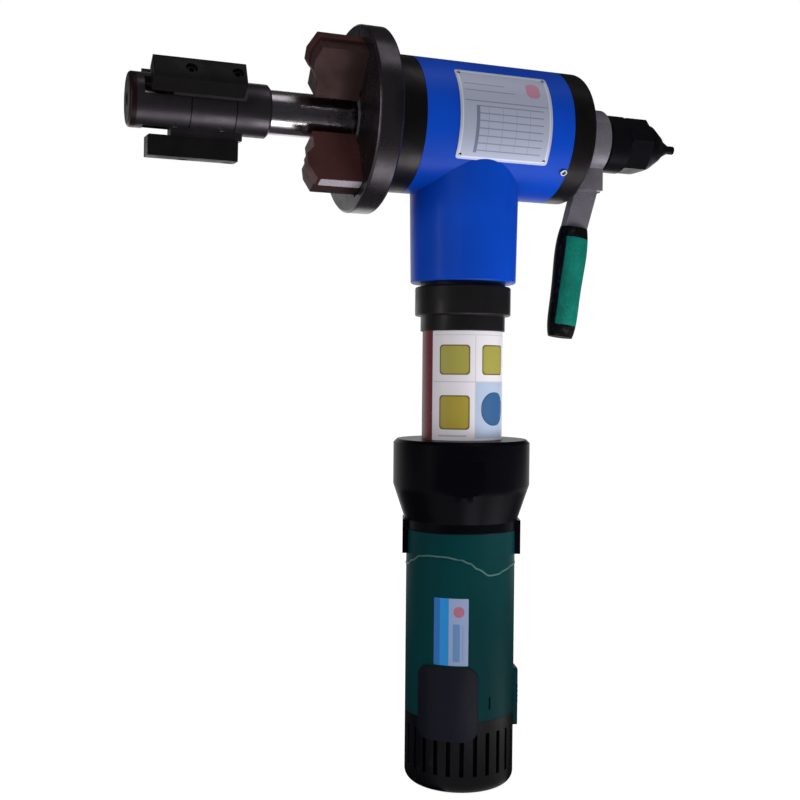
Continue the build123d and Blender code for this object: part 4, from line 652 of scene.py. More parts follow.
STICKER = Print(
    "motor_sticker", (0.205, 0.262, 0.41), 25.0, 47.5,
    (
        Field(0.0, 0.0, 0.44, 1.0, (0.008, 0.1, 0.33), 0.2),
        Field(0.18, 0.0, 0.44, 1.0, (0.009, 0.18, 0.47), 0.2),
        Field(0.56, 0.06, 0.76, 0.62, (0.09, 0.18, 0.36), 0.5),
        Field(0.58, 0.72, 0.88, 0.88, (0.3, 0.1, 0.16), 3.4),
        Field(0.82, 0.08, 0.86, 0.6, (0.15, 0.22, 0.38), 0.2),
    ),
)


class Shaper:
    """Builds meshes whose places lie in their points, in metres in the row frame."""

    @staticmethod
    def piece(name: str, points: Sequence[Vector], faces: Sequence[Sequence[int]],
              smooth_degrees: float = 35.0, uvs: Sequence[Pair] | None = None) -> bpy.types.Object:
        """Makes an object from points and faces.

        Args:
            name: The piece's name.
            points: Its points.
            faces: Its faces, as places in the points.
            smooth_degrees: Edges sharper than this stay sharp.
            uvs: One map place per point.

        Returns:
            The new object.
        """
        mesh = bpy.data.meshes.new(name)
        mesh.from_pydata([tuple(point) for point in points], [], [tuple(face) for face in faces])
        if uvs is not None:
            layer = mesh.uv_layers.new(name="UVMap")
            for loop in mesh.loops:
                layer.data[loop.index].uv = uvs[loop.vertex_index]
        shape = bmesh.new()
        shape.from_mesh(mesh)
        bmesh.ops.recalc_face_normals(shape, faces=shape.faces)
        limit = math.radians(smooth_degrees)
        for face in shape.faces:
            face.smooth = True
        for edge in shape.edges:
            if len(edge.link_faces) == 2 and edge.calc_face_angle(0.0) > limit:
                edge.smooth = False
        shape.to_mesh(mesh)
        shape.free()
        made = bpy.data.objects.new(name, mesh)
        bpy.context.scene.collection.objects.link(made)
        return made

    @staticmethod
    def axes(direction: Vector) -> tuple[Vector, Vector, Vector]:
        """Two directions square to a third, and the third itself.

        Args:
            direction: The third direction.

        Returns:
            Three unit directions.
        """
        along = direction.normalized()
        helper = Vector((0, 0, 1)) if abs(along.z) < 0.9 else Vector((1, 0, 0))
        side = helper.cross(along).normalized()
        return side, along.cross(side), along

    @classmethod
    def lathe(cls, name: str, origin: Vector, direction: Vector, profile: Sequence[Pair],
              segments: int = 48, closed: bool = False) -> bpy.types.Object:
        """Turns a profile about an axis.

        Args:
            name: The piece's name.
            origin: A point on the axis.
            direction: The axis.
            profile: (distance along the axis, radius) pairs. A radius of 0 closes an end.
            segments: How many steps go round.
            closed: True joins the last point to the first, as in a ring.

        Returns:
            The new object.
        """
        side, up, along = cls.axes(direction)
        points: list[Vector] = []
        rings: list[list[int]] = []
        for distance, radius in profile:
            if radius <= 1e-9:
                rings.append([len(points)])
                points.append(origin + along * distance)
                continue
            ring = []
            for step in range(segments):
                angle = 2 * math.pi * step / segments
                ring.append(len(points))
                around = side * math.cos(angle) + up * math.sin(angle)
                points.append(origin + along * distance + around * radius)
            rings.append(ring)
        pairs = list(zip(rings, rings[1:])) + ([(rings[-1], rings[0])] if closed else [])
        faces: list[list[int]] = []
        for first, second in pairs:
            for step in range(segments):
                after = (step + 1) % segments
                corners = [
                    first[step % len(first)], first[after % len(first)],
                    second[after % len(second)], second[step % len(second)]]
                faces.append(list(dict.fromkeys(corners)))
        return cls.piece(name, points, [face for face in faces if len(face) > 2])

    @staticmethod
    def quads(lines: int, points: int, lines_join: bool = False,
              points_join: bool = False) -> list[list[int]]:
        """The faces between neighbouring lines of points, where the points come line by line.

        Args:
            lines: How many lines there are.
            points: How many points each line has.
            lines_join: True joins the last line to the first.
            points_join: True joins each line's last point to its first.

        Returns:
            Four places in the points for each face.
        """
        faces = []
        for line in range(lines if lines_join else lines - 1):
            first, second = line * points, (line + 1) % lines * points
            for point in range(points if points_join else points - 1):
                after = (point + 1) % points
                faces.append([first + point, first + after, second + after, second + point])
        return faces

    @classmethod
    def socket_screw(cls, name: str, origin: Vector, direction: Vector, radius: float, height: float,
                     socket: float) -> bpy.types.Object:
        """A screw head with a six-sided socket.

        Args:
            name: The piece's name.
            origin: The middle of the head's underside.
            direction: The way that the head faces.
            radius: The head's radius.
            height: Its height.
            socket: Half the socket's width across corners.

        Returns:
            The new object.
        """
        side, up, along = cls.axes(direction)
        count = 36
        chamfer, lead, floor = radius * 0.14, socket * 0.12, height * 0.35
        rows = (
            (0.0, radius, False), (height - chamfer, radius, False), (height, radius - chamfer, False),
            (height, socket + lead, False), (height - lead, socket, True), (floor, socket, True))
        points = []
        for distance, reach, six_sided in rows:
            for step in range(count):
                angle = 2 * math.pi * step / count
                length = reach
                if six_sided:
                    length = reach * math.cos(math.pi / 6) / math.cos(angle % (math.pi / 3) - math.pi / 6)
                around = side * math.cos(angle) + up * math.sin(angle)
                points.append(origin + along * distance + around * length)
        faces = cls.quads(len(rows), count, points_join=True)
        faces.append([(len(rows) - 1) * count + step for step in range(count)])
        return cls.piece(name, points, faces, smooth_degrees=25.0)

    @classmethod
    def wrap(cls, name: str, place: Place, width: float, height: float, corner: float, thickness: float,
             columns: int = 40, rows: int = 12) -> bpy.types.Object:
        """A thin sheet with round corners, laid on a surface, with a map that fills it.

        Args:
            name: The piece's name.
            place: Gives the point at (across, up, height above the surface), all in metres from the middle.
            width: The sheet's width.
            height: The sheet's height.
            corner: The radius of its corners.
            thickness: How far it stands proud.
            columns: Steps across.
            rows: Steps up.

        Returns:
            The new object.
        """
        points, uvs = [], []
        for level in (thickness, 0.0):
            for column in range(columns + 1):
                across = (0.5 - 0.5 * math.cos(column / columns * math.pi)) * width - width / 2
                past = max(0.0, abs(across) - (width / 2 - corner))
                half = height / 2 - corner + math.sqrt(max(corner * corner - past * past, 0.0))
                for row in range(rows + 1):
                    rise = (row / rows * 2 - 1) * half
                    points.append(place(across, rise, level))
                    uvs.append((across / width + 0.5, rise / height + 0.5))
        deep = rows + 1
        sheet = (columns + 1) * deep
        front = cls.quads(columns + 1, deep)
        faces = front + [[sheet + spot for spot in reversed(face)] for face in front]
        rim = [column * deep for column in range(columns + 1)]
        rim += [columns * deep + row for row in range(1, rows + 1)]
        rim += [column * deep + rows for column in range(columns - 1, -1, -1)]
        rim += [row for row in range(rows - 1, 0, -1)]
        for first, second in zip(rim, rim[1:] + rim[:1]):
            faces.append([second, first, sheet + first, sheet + second])
        return cls.piece(name, points, faces, smooth_degrees=40.0, uvs=uvs)

    @classmethod
    def bead(cls, name: str, line: Sequence[Vector], normals: Sequence[Vector], half_width: float,
             height: float, closed: bool = False) -> bpy.types.Object:
        """A low round-topped ridge along a line on a surface.

        Args:
            name: The piece's name.
            line: Points on the surface.
            normals: The way out of the surface at each point.
            half_width: Half the ridge's width.
            height: How far it stands proud.
            closed: True joins the ends.

        Returns:
            The new object.
        """
        half = [(-1.0, -0.4), (-0.92, 0.35), (-0.5, 0.85)]
        section = half + [(0.0, 1.0)] + [(-across, rise) for across, rise in reversed(half)]
        count, wide = len(line), len(half) * 2 + 1
        points = []
        for place, (spot, normal) in enumerate(zip(line, normals)):
            before = line[place - 1] if place or closed else spot
            after = line[(place + 1) % count] if place + 1 < count or closed else spot
            sideways = (after - before).cross(normal).normalized()
            for across, rise in section:
                points.append(spot + sideways * across * half_width + normal * rise * height)
        faces = cls.quads(count, wide, closed, True)
        if not closed:
            faces.append(list(range(wide)))
            faces.append([(count - 1) * wide + step for step in reversed(range(wide))])
        return cls.piece(name, points, faces, smooth_degrees=50.0)


def spindle_out(angle: float) -> Vector:
    """The direction away from the spindle at an angle from +Y towards +Z, in degrees."""
    return Vector((0.0, math.cos(math.radians(angle)), math.sin(math.radians(angle))))


def motor_out(angle: float) -> Vector:
    """The direction away from the motor's axis at an angle from +X towards +Y, in degrees."""
    return Vector((math.cos(math.radians(angle)), math.sin(math.radians(angle)), 0.0))


def off_spindle(x: float, angle: float, radius: float) -> Vector:
    """The point at a radius from the spindle's axis, with the angle in degrees from +Y towards +Z."""
    return Vector((x, 0.0, 0.0)) + spindle_out(angle) * radius


def on_motor(radius: float, angle: float, z: float) -> Place:
    """Lays a sheet on a cylinder round the motor's axis.

    Args:
        radius: The cylinder's radius.
        angle: Where the sheet's middle is, in degrees from +X towards +Y.
        z: The height of its middle.

    Returns:
        A function that gives the point at (across, up, height above the surface).
    """
    def place(across: float, up: float, height: float) -> Vector:
        """The point for a place on the sheet."""
        out = motor_out(angle + math.degrees(across / radius))
        return Vector((NECK_X, 0.0, z + up)) + out * (radius + height)
    return place


def on_spindle(radius: float, angle: float, x: float) -> Place:
    """Lays a sheet on a cylinder round the spindle, with its width along X.

    Args:
        radius: The cylinder's radius.
        angle: Where the sheet's middle is, in degrees from +Y towards +Z.
        x: The place of its middle along X.

    Returns:
        A function that gives the point at (across, up, height above the surface).
    """
    def place(across: float, up: float, height: float) -> Vector:
        """The point for a place on the sheet."""
        return off_spindle(x + across, angle - math.degrees(up / radius), radius + height)
    return place


def on_flat(middle: Vector, along: Vector, side: Vector, out: Vector) -> Place:
    """Lays a sheet on a flat face.

    Args:
        middle: The sheet's middle.
        along: The way across it.
        side: The way up it.
        out: The way out of the face.

    Returns:
        A function that gives the point at (across, up, height above the face).
    """
    def place(across: float, up: float, height: float) -> Vector:
        """The point for a place on the sheet."""
        return middle + along * across + side * up + out * height
    return place


@dataclass
class SubAssembly:
    """What every sub-assembly has: its CAD nodes, and a way to dress them and to add a piece.

    Each of the nodes comes with its finish and the rounding of its sharp edges in millimetres.
    """

    wardrobe: Wardrobe
    nodes: Dressing = ()
    weld_distance: float = 0.002 * MM
    sharp_from: float = 32.0

    def build(self) -> None:
        """Dresses the nodes, and adds the pieces that the solids don't have."""
        for node, finish, edge_mm in self.nodes:
            self.wardrobe.dress(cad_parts[node], finish)
            if edge_mm > 0.0:
                self.round_edges(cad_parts[node], edge_mm * MM)
        self.add_pieces()

    def add_pieces(self) -> None:
        """Adds nothing. A sub-assembly with pieces of its own has its own method."""

    def round_edges(self, target: bpy.types.Object, width: float) -> None:
        """Rounds the sharp edges of an object.

        Args:
            target: The object.
            width: The width of the rounding, in metres.
        """
        weld = target.modifiers.new("join_points", "WELD")
        weld.merge_threshold = self.weld_distance
        bevel = target.modifiers.new("round_edges", "BEVEL")
        bevel.width = width
        bevel.segments = 2
        bevel.limit_method = "ANGLE"
        bevel.angle_limit = math.radians(self.sharp_from)
        bevel.use_clamp_overlap = True
        shade = target.modifiers.new("even_shading", "WEIGHTED_NORMAL")
        shade.weight = 60
        shade.keep_sharp = False

    def add(self, piece: bpy.types.Object, finish: Finish, body: str, slot: str) -> None:
        """Dresses a new piece and makes it ride on a body.

        Args:
            piece: The piece.
            finish: Its finish.
            body: The CAD body that it moves with.
            slot: The record's material slot; not used.
        """
        self.wardrobe.dress(piece, finish)
        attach(piece, body)
        LOG.info("piece %s rides on %s", piece.name, body)


@dataclass
class Mandrel(SubAssembly):
    """The head that goes into the pipe, its jaws, the chromed shaft and the drawbar."""

    nodes: Dressing = (
        ("mandrel_head", HEAD_STEEL, 0.35), ("mandrel_cap", END_STEEL, 0.3), ("mandrel_shaft", CHROME, 0.25),
        ("drawbar", NUT_STEEL, 0.2), ("wedge", GROUND_STEEL, 0.15),
        *((f"jaw_foot_{number}", HEAD_STEEL, 0.25) for number in (1, 2, 3)),
        *((f"jaw_shoe_{number}", SHOE_STEEL, 0.35) for number in (1, 2, 3)))
    head_radius: float = 18.0 * MM
    set_screw_places: Pairs = ((-12.0 * MM, 245.0), (19.0 * MM, 245.0))
    set_screw_sizes: tuple[float, float, float] = (2.6 * MM, 1.9 * MM, 1.5 * MM)
    set_screw_sink: float = 1.6 * MM
    ring_places: tuple[float, ...] = (-3.0 * MM, 27.0 * MM)
    ring_half_width: float = 0.5 * MM
    ring_height: float = 0.15 * MM
    ring_steps: int = 20
    jaw_angles: tuple[float, ...] = (155.0, 275.0, 395.0)
    jaw_half_angle: float = 24.0

    def add_pieces(self) -> None:
        """Adds the set screws, and the fine rings of the head between the jaws."""
        for number, (x, angle) in enumerate(self.set_screw_places, start=1):
            origin = off_spindle(x, angle, self.head_radius - self.set_screw_sink)
            screw = Shaper.socket_screw(
                f"head_set_screw_{number}", origin, spindle_out(angle), *self.set_screw_sizes)
            self.add(screw, SCREW_STEEL, "mandrel", "screw_steel")
        places = [(x, angle + self.jaw_half_angle) for x in self.ring_places for angle in self.jaw_angles]
        span = 360.0 / len(self.jaw_angles) - 2 * self.jaw_half_angle
        for number, (x, start) in enumerate(places, start=1):
            angles = [start + span * step / self.ring_steps for step in range(self.ring_steps + 1)]
            ring = Shaper.bead(
                f"head_ring_{number}", [off_spindle(x, angle, self.head_radius) for angle in angles],
                [spindle_out(angle) for angle in angles], self.ring_half_width, self.ring_height)
            self.add(ring, RING_STEEL, "mandrel", "head_steel")


@dataclass
class CutterHead(SubAssembly):
    """The slotted disc, its tool bits and their clamps, and the spindle that turns them."""

    nodes: Dressing = (
        ("cutter_disc", DISC_STEEL, 0.3), ("tool_bits", BIT_STEEL, 0.25), ("tool_clamps", CLAMP_STEEL, 0.4),
        ("disc_screws", SCREW_STEEL, 0.0), ("spindle", INNER_STEEL, 0.0), ("spindle_nut", INNER_STEEL, 0.0),
        ("crown_gear", INNER_STEEL, 0.0), ("bearing_inner_rings", INNER_STEEL, 0.0),
        ("bearing_rollers", INNER_STEEL, 0.0))
    highlight_angle: float = 248.0
    highlight_start_x: float = 80.8 * MM
    highlight_end_x: float = 110.1 * MM
    highlight_width: float = 7.4 * MM
    highlight_height: float = 0.5 * MM
    highlight_radius: float = 55.8 * MM
    bit_side: float = 6.1 * MM

    def add_pieces(self) -> None:
        """Lays a pale strip on the outer edge of the bit that shows below. It is a painted highlight, placed
        where a lamp's reflection falls.
        """
        out, side = spindle_out(self.highlight_angle), spindle_out(self.highlight_angle - 90.0)
        middle = off_spindle((self.highlight_start_x + self.highlight_end_x) / 2, self.highlight_angle, self.highlight_radius)
        highlight_strip = Shaper.wrap(
            "bit_painted_highlight", on_flat(middle + side * self.bit_side, Vector((1.0, 0.0, 0.0)), side, out),
            self.highlight_end_x - self.highlight_start_x, self.highlight_width, self.highlight_height, self.highlight_height, 12, 4)
        self.add(highlight_strip, HIGHLIGHT_STRIP_STEEL, "cutter_spindle", "cutter_steel")


@dataclass
class GearHousing(SubAssembly):
    """The blue barrel and neck, the black rings at its ends and its plate."""

    nodes: Dressing = (
        ("gear_housing", BLUE, 0.5), ("front_ring", RING_STEEL, 0.4), ("rear_ring", RING_STEEL, 0.4),
        ("ring_screws", SCREW_STEEL, 0.0), ("feed_retainer", RING_STEEL, 0.25),
        ("oil_seal", SEAL_RUBBER, 0.0), ("bearing_outer_rings", INNER_STEEL, 0.0),
        ("guide_sleeve", BRONZE, 0.0), ("drive_bushes", BRONZE, 0.0))
    barrel_radius: float = 48.0 * MM
    plate_x: float = 210.0 * MM
    plate_angle: float = 176.4
    plate_width: float = 71.0 * MM
    plate_height: float = 67.0 * MM
    plate_corner: float = 2.0 * MM
    plate_thickness: float = 0.5 * MM
    rivet_inset: float = 3.0 * MM
    rivet_foot: float = 0.3 * MM
    rivet_profile: Pairs = (
        (0.0, 1.3 * MM), (0.35 * MM, 1.2 * MM), (0.65 * MM, 0.8 * MM), (0.8 * MM, 0.0))
    oil_screw_x: float = 261.0 * MM
    oil_screw_angle: float = 221.0
    oil_screw_sizes: tuple[float, float, float] = (2.8 * MM, 2.0 * MM, 1.5 * MM)
    oil_screw_sink: float = 0.6 * MM

    def add_pieces(self) -> None:
        """Adds the plate, its rivets and the oil screw."""
        sheet = Shaper.wrap(
            "body_plate", on_spindle(self.barrel_radius, self.plate_angle, self.plate_x), self.plate_width,
            self.plate_height, self.plate_corner, self.plate_thickness, 24, 40)
        self.add(sheet, PLATE, "housing", "blue_paint")
        across = self.plate_width / 2 - self.rivet_inset
        turn = math.degrees((self.plate_height / 2 - self.rivet_inset) / self.barrel_radius)
        places = [(side, end) for side in (-1, 1) for end in (-1, 1)]
        for number, (side, end) in enumerate(places, start=1):
            angle = self.plate_angle + turn * end
            origin = off_spindle(self.plate_x + across * side, angle, self.barrel_radius + self.rivet_foot)
            rivet = Shaper.lathe(f"plate_rivet_{number}", origin, spindle_out(angle), self.rivet_profile, 20)
            self.add(rivet, BRIGHT_SCREW, "housing", "screw_steel")
        origin = off_spindle(self.oil_screw_x, self.oil_screw_angle, self.barrel_radius - self.oil_screw_sink)
        screw = Shaper.socket_screw(
            "oil_screw", origin, spindle_out(self.oil_screw_angle), *self.oil_screw_sizes)
        self.add(screw, BRIGHT_SCREW, "housing", "screw_steel")


@dataclass
class Feed(SubAssembly):
    """The draw nut, the feed nut, the ratchet and its lever."""

    nodes: Dressing = (
        ("draw_nut", NUT_STEEL, 0.4), ("feed_nut", INNER_STEEL, 0.2), ("ratchet_wheel", INNER_STEEL, 0.0),
        ("ratchet_lever", LEVER_STEEL, 0.6), ("pawl", SCREW_STEEL, 0.2), ("grip_core", GRIP_BLACK, 0.3),
        ("grip_cover", GRIP_GREEN, 0.3))


@dataclass
class Column(SubAssembly):
    """The neck ring, the coupling nut, the tube with its label and the drive inside."""

    nodes: Dressing = (
        ("neck_ring", COUPLING_STEEL, 0.3), ("coupling_nut", COUPLING_STEEL, 0.4),
        ("extension_tube", TUBE_PAINT, 0.0), ("bevel_pinion", INNER_STEEL, 0.0),
        ("drive_shaft", INNER_STEEL, 0.0), ("planet_carrier", INNER_STEEL, 0.0),
        *((f"planet_{number}", INNER_STEEL, 0.0) for number in (1, 2, 3)), ("ring_gear", INNER_STEEL, 0.0))
    tube_radius: float = 29.3 * MM
    label_z: float = -186.05 * MM
    label_width: float = 84.0 * MM
    label_height: float = 78.3 * MM
    label_corner: float = 1.0 * MM
    label_thickness: float = 0.15 * MM
    label_start: float = 170.5

    def add_pieces(self) -> None:
        """Lays the label round the tube."""
        middle = self.label_start + math.degrees(self.label_width / 2 / self.tube_radius)
        sheet = Shaper.wrap(
            "tube_label", on_motor(self.tube_radius, middle, self.label_z), self.label_width,
            self.label_height, self.label_corner, self.label_thickness, 60, 8)
        self.add(sheet, TUBE_LABEL, "housing", "tube_paint")


@dataclass
class Motor(SubAssembly):
    """The gearcase, the green shell, its covers, the vented cap and what turns inside.

    The seam's points are (angle from +X towards +Y in degrees, height in millimetres). Its wave comes twice.
    """

    nodes: Dressing = (
        ("gearcase", BLACK_PAINT, 0.6), ("motor_collar", GREEN_SHELL, 0.4), ("motor_shell", GREEN_SHELL, 0.3),
        ("brush_covers", COVER_PLASTIC, 0.5), ("switch_slider", BLACK_SHELL, 0.25),
        ("rear_cap", BLACK_SHELL, 0.3), ("brushes", CARBON, 0.0), ("commutator", COPPER, 0.0),
        ("fan", BLACK_SHELL, 0.0), ("motor_bearings", INNER_STEEL, 0.0), ("stator", INNER_STEEL, 0.0),
        ("armature_shaft", INNER_STEEL, 0.0), ("armature_core", INNER_STEEL, 0.0))
    shell_radius: float = 39.9 * MM
    collar_radius: float = 40.6 * MM
    sticker_angle: float = 237.0
    sticker_z: float = -359.5 * MM
    sticker_sizes: tuple[float, float, float, float] = (25.0 * MM, 47.5 * MM, 0.8 * MM, 0.12 * MM)
    band_top_z: float = -283.65 * MM
    band_height: float = 7.0 * MM
    band_taper: float = 0.8 * MM
    band_depth: float = 0.7 * MM
    band_edge: float = 0.1 * MM
    shade_sleeve_radius: float = 35.4 * MM
    shade_sleeve_wall: float = 0.8 * MM
    shade_sleeve_heights: Pair = (-430.8 * MM, -472.6 * MM)
    seam_half_width: float = 0.65 * MM
    seam_height: float = 0.5 * MM
    seam_steps: int = 180
    seam_collar_z: float = -308.0 * MM
    seam_wave: Pairs = (
        (186.7, -312.2), (200.7, -307.6), (213.9, -306.6), (230.5, -306.6), (245.7, -308.2),
        (255.7, -310.8), (264.0, -315.0), (277.4, -320.0), (287.6, -319.6), (298.3, -317.6))
    seam_start: Pairs = ((159.0, -317.0), (175.0, -316.0))
    seam_middle: Pairs = ((313.6, -315.4), (339.0, -315.4))
    seam_end: Pairs = ((493.6, -316.0), (519.0, -317.0))

    def add_pieces(self) -> None:
        """Adds the sticker, the seam, a black ring round the collar's top, and a matt black sleeve behind the
        air slots, which is painted shade of the cap's inside.
        """
        place = on_motor(self.shell_radius, self.sticker_angle, self.sticker_z)
        sticker = Shaper.wrap("motor_sticker", place, *self.sticker_sizes, 24, 6)
        self.add(sticker, STICKER, "housing", "shell_plastic")
        self.add(self.seam_bead(), SEAM_HIGHLIGHT_GREEN, "housing", "shell_plastic")
        # A thin black ring round the top of the collar, just under the gearcase.
        wide = self.collar_radius + self.band_depth
        profile = (
            (0.0, self.collar_radius), (0.0, wide), (self.band_height - self.band_taper, wide),
            (self.band_height, self.collar_radius + self.band_edge), (self.band_height, self.collar_radius))
        start, down = Vector((NECK_X, 0.0, self.band_top_z)), Vector((0.0, 0.0, -1.0))
        black_band = Shaper.lathe("collar_black_band", start, down, profile, 96, closed=True)
        self.add(black_band, BLACK_PAINT, "housing", "gearcase_paint")
        # Painted shade: a matt black sleeve just inside the air slots, so that they show dark.
        outer, inner = self.shade_sleeve_radius, self.shade_sleeve_radius - self.shade_sleeve_wall
        top, foot = self.shade_sleeve_heights
        shade_sleeve = Shaper.lathe(
            "cap_shade_sleeve", Vector((NECK_X, 0.0, 0.0)), Vector((0.0, 0.0, 1.0)),
            ((top, outer), (top, inner), (foot, inner), (foot, outer)), 64, closed=True)
        self.add(shade_sleeve, PAINTED_SHADE_BLACK, "housing", "cap_plastic")

    def seam_bead(self) -> bpy.types.Object:
        """Builds the wavy edge between the collar and the shell, as a low ridge all round. Its pale green is
        a painted highlight along that edge.

        Returns:
            The new object.
        """
        again = ((angle + 180.0, height) for angle, height in self.seam_wave)
        places = [*self.seam_start, *self.seam_wave, *self.seam_middle, *again, *self.seam_end]
        line, normals = [], []
        for step in range(self.seam_steps):
            angle = places[0][0] + 360.0 * step / self.seam_steps
            after = next(number for number, (at, _) in enumerate(places) if at > angle)
            (first, low), (second, high) = places[after - 1], places[after]
            share = (angle - first) / (second - first)
            z = (low + (high - low) * share * share * (3 - 2 * share)) * MM
            radius = self.collar_radius if z > self.seam_collar_z else self.shell_radius
            normals.append(motor_out(angle))
            line.append(Vector((NECK_X, 0.0, z)) + normals[-1] * radius)
        return Shaper.bead("shell_seam", line, normals, self.seam_half_width, self.seam_height, closed=True)


class Reach(Enum):
    """What a lamp acts on."""

    ALL = "all"
    LIGHT = "light"
    MIRROR = "mirror"


@dataclass(frozen=True)
class Lamp:
    """A rectangular soft box that the camera doesn't see, with sizes in metres and its power in watts."""

    name: str
    place: Point
    target: Point
    size: Pair
    power: float
    reach: Reach = Reach.ALL

    def make(self) -> None:
        """Adds the lamp, which faces its target."""
        data = bpy.data.lights.new(self.name, "AREA")
        data.shape = "RECTANGLE"
        data.size, data.size_y = self.size
        data.energy = self.power
        made = bpy.data.objects.new(self.name, data)
        made.location = self.place
        made.rotation_euler = (Vector(self.target) - Vector(self.place)).to_track_quat("-Z", "Y").to_euler()
        made.visible_camera = False
        made.visible_glossy = self.reach is not Reach.LIGHT
        made.visible_diffuse = self.reach is not Reach.MIRROR
        bpy.context.scene.collection.objects.link(made)


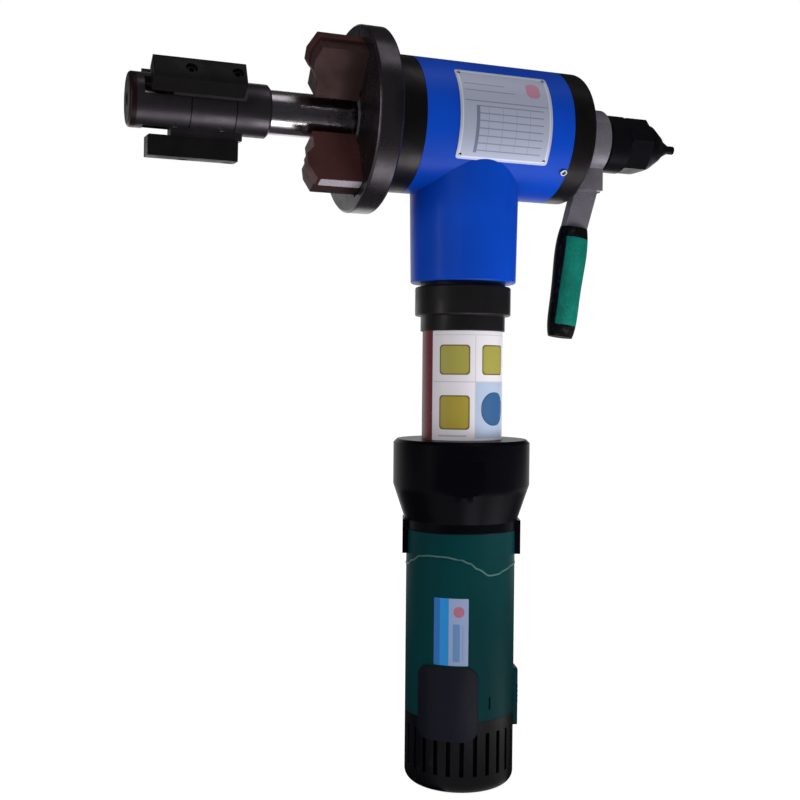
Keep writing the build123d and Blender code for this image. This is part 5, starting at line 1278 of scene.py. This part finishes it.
@dataclass
class Studio:
    """The camera, the floor, the lamps and the world. Angles are in degrees, sizes in metres."""

    camera_place: Point = (-0.1320, -0.7394, -0.1789)
    azimuth: float = 20.9
    elevation: float = 1.3
    roll: float = 0.5
    focal_px: float = 1099.9
    photo_px: float = 800.0
    sensor_mm: float = 36.0
    clip: Pair = (0.01, 50.0)
    floor_z: float = -0.4756
    floor_reach: float = 6.0
    floor_grey: float = 0.86
    floor_glow: float = 1.18
    floor_glow_share: float = 0.8
    world_light: float = 0.46
    cloth_colour: Colour = (0.06, 0.056, 0.064)
    cloth_rise: float = 0.002
    canopy_middle: Point = (0.17, 0.0, -0.1)
    canopy_reach: float = 1.7
    canopy_steps: tuple[int, int] = (48, 12)
    canopy_front: float = -100.0
    canopy_back_rise: float = 48.0
    canopy_dip: float = 98.0
    canopy_curve: float = 0.35
    canopy_top: float = 89.9
    middle: Point = (0.17, 0.0, -0.2)

    def camera(self) -> None:
        """Places the camera as the photograph was taken."""
        azimuth, elevation, roll = (math.radians(x) for x in (self.azimuth, self.elevation, self.roll))
        ahead = Vector((math.sin(azimuth) * math.cos(elevation), math.cos(azimuth) * math.cos(elevation),
                        -math.sin(elevation)))
        level = Vector((math.cos(azimuth), -math.sin(azimuth), 0.0))
        upright = level.cross(ahead)
        right = level * math.cos(roll) + upright * math.sin(roll)
        up = upright * math.cos(roll) - level * math.sin(roll)
        data = bpy.data.cameras.new("photo_camera")
        data.sensor_width = self.sensor_mm
        data.lens = self.focal_px / self.photo_px * self.sensor_mm
        data.clip_start, data.clip_end = self.clip
        made = bpy.data.objects.new("photo_camera", data)
        rows = zip(right, up, -ahead, self.camera_place)
        made.matrix_world = Matrix((*rows, (0.0, 0.0, 0.0, 1.0)))
        bpy.context.scene.collection.objects.link(made)
        bpy.context.scene.camera = made

    def floor(self) -> None:
        """Lays a pale floor that keeps the shadow and shows white to the camera."""
        reach = self.floor_reach
        corners = [Vector((x, y, self.floor_z)) for x in (-reach, reach) for y in (-reach, reach)]
        made = Shaper.piece("floor", corners, Shaper.quads(2, 2))
        graph = Graph("pale_floor")
        glow = graph.node("ShaderNodeEmission", None, {"Color": WHITE, "Strength": self.floor_glow})
        matt = graph.node("ShaderNodeBsdfDiffuse", None, {"Color": (self.floor_grey,) * 3})
        share = graph.seen() * self.floor_glow_share
        mixed = graph.node("ShaderNodeMixShader", None, {0: share, 1: matt.outputs[0], 2: glow.outputs[0]})
        graph.fill(graph.output.inputs[0], mixed.outputs[0])
        graph.tree.nodes.remove(graph.shader)
        made.data.materials.append(graph.material)

    def world(self) -> None:
        """Makes a white surround for the camera and for reflections, and a softer one for light."""
        made = bpy.data.worlds.new("white_room")
        made.use_nodes = True
        tree = Tree(made.node_tree)
        strength = tree.seen() * (1.0 - self.world_light) + self.world_light
        back = tree.node("ShaderNodeBackground", None, {"Color": WHITE, "Strength": strength})
        tree.node("ShaderNodeOutputWorld", None, {0: back.outputs[0]})
        bpy.context.scene.world = made

    def dark_screen(self, name: str, points: Sequence[Vector], columns: int, rows: int) -> None:
        """Hangs a dull dark grey cloth that only reflections show.

        Args:
            name: Its name.
            points: A grid of points, column by column.
            columns: Steps from column to column.
            rows: Steps down a column.
        """
        made = Shaper.piece(name, points, Shaper.quads(columns + 1, rows + 1))
        made.data.materials.append(
            Graph(name).finish(base_color=self.cloth_colour, roughness=1.0, specular_ior_level=0.0))
        for kind in ("camera", "diffuse", "transmission", "volume_scatter", "shadow"):
            setattr(made, f"visible_{kind}", False)

    def screens(self) -> None:
        """Hangs a dark canopy that comes down low on the camera's side, and lays two dark sheets on the floor
        that only reflections show. The one under the object is a painted shadow of the object on the floor,
        and the apron darkens the floor in front.
        """
        columns, rows = self.canopy_steps
        top = math.radians(self.canopy_top)
        canopy = []
        for column in range(columns + 1):
            turn = 2 * math.pi * column / columns
            front = 0.5 + 0.5 * math.cos(turn)
            low = math.radians(self.canopy_back_rise - self.canopy_dip * front ** self.canopy_curve)
            azimuth = math.radians(self.canopy_front) + turn
            for row in range(rows + 1):
                rise = low + (top - low) * row / rows
                level = Vector((math.cos(azimuth), math.sin(azimuth), 0.0)) * math.cos(rise)
                out = level + Vector((0.0, 0.0, math.sin(rise)))
                canopy.append(Vector(self.canopy_middle) + out * self.canopy_reach)
        self.dark_screen("dark_canopy", canopy, columns, rows)
        # The sheet under the object is a painted shadow: reflections see it where the object's own shadow
        # falls on the floor.
        for name, sides, ends in (("painted_floor_shadow", (-0.5, 0.9), (-0.03, 0.7)),
                                  ("dark_apron", (-1.5, 1.9), (-1.7, -0.27))):
            under = [Vector((x, y, self.floor_z + self.cloth_rise)) for x in sides for y in ends]
            self.dark_screen(name, under, 1, 1)

    def lamps(self) -> None:
        """Sets up the lamps. The strips lie on the floor and give the polished steel its streaks."""
        for lamp in (
                Lamp("key_box", (-0.8, -1.1, 0.35), self.middle, (0.9, 0.9), 7.5, Reach.LIGHT),
                Lamp("low_strip", (0.38, -0.14, -0.46), (0.38, -0.12, 0.0), (0.16, 0.2), 0.36, Reach.MIRROR),
                Lamp("shaft_strip", (0.2, -0.23, -0.46), (0.2, -0.23, 0.0), (0.11, 0.24), 0.35, Reach.MIRROR),
                Lamp("under_box", (0.39, -0.22, -0.27), (0.2, -0.05, 0.0), (0.34, 0.16), 1.38, Reach.LIGHT),
                Lamp("sky_box", (0.42, -0.3, 0.98), (0.17, 0.0, 0.0), (0.6, 0.5), 0.9),
                Lamp("side_box", (-1.0, -0.3, 0.0), self.middle, (0.12, 0.8), 1.6),
                Lamp("top_box", (0.2, 0.1, 1.25), self.middle, (1.3, 0.8), 4.5, Reach.LIGHT),
                Lamp("back_box", (0.9, 1.2, 0.4), self.middle, (0.9, 0.9), 4.0, Reach.LIGHT)):
            lamp.make()

    def build(self) -> None:
        """Makes all of it, under the plain view transform."""
        self.camera()
        self.floor()
        self.world()
        self.screens()
        self.lamps()
        bpy.context.scene.view_settings.view_transform = "Standard"


def main() -> None:
    """Builds the studio, then dresses each sub-assembly in order."""
    logging.basicConfig(level=logging.INFO, format="%(message)s")
    Studio().build()
    wardrobe = Wardrobe()
    for kind in (Mandrel, CutterHead, GearHousing, Feed, Column, Motor):
        kind(wardrobe).build()
        LOG.info("%s is dressed", kind.__name__)


if __name__ == "__main__":
    main()
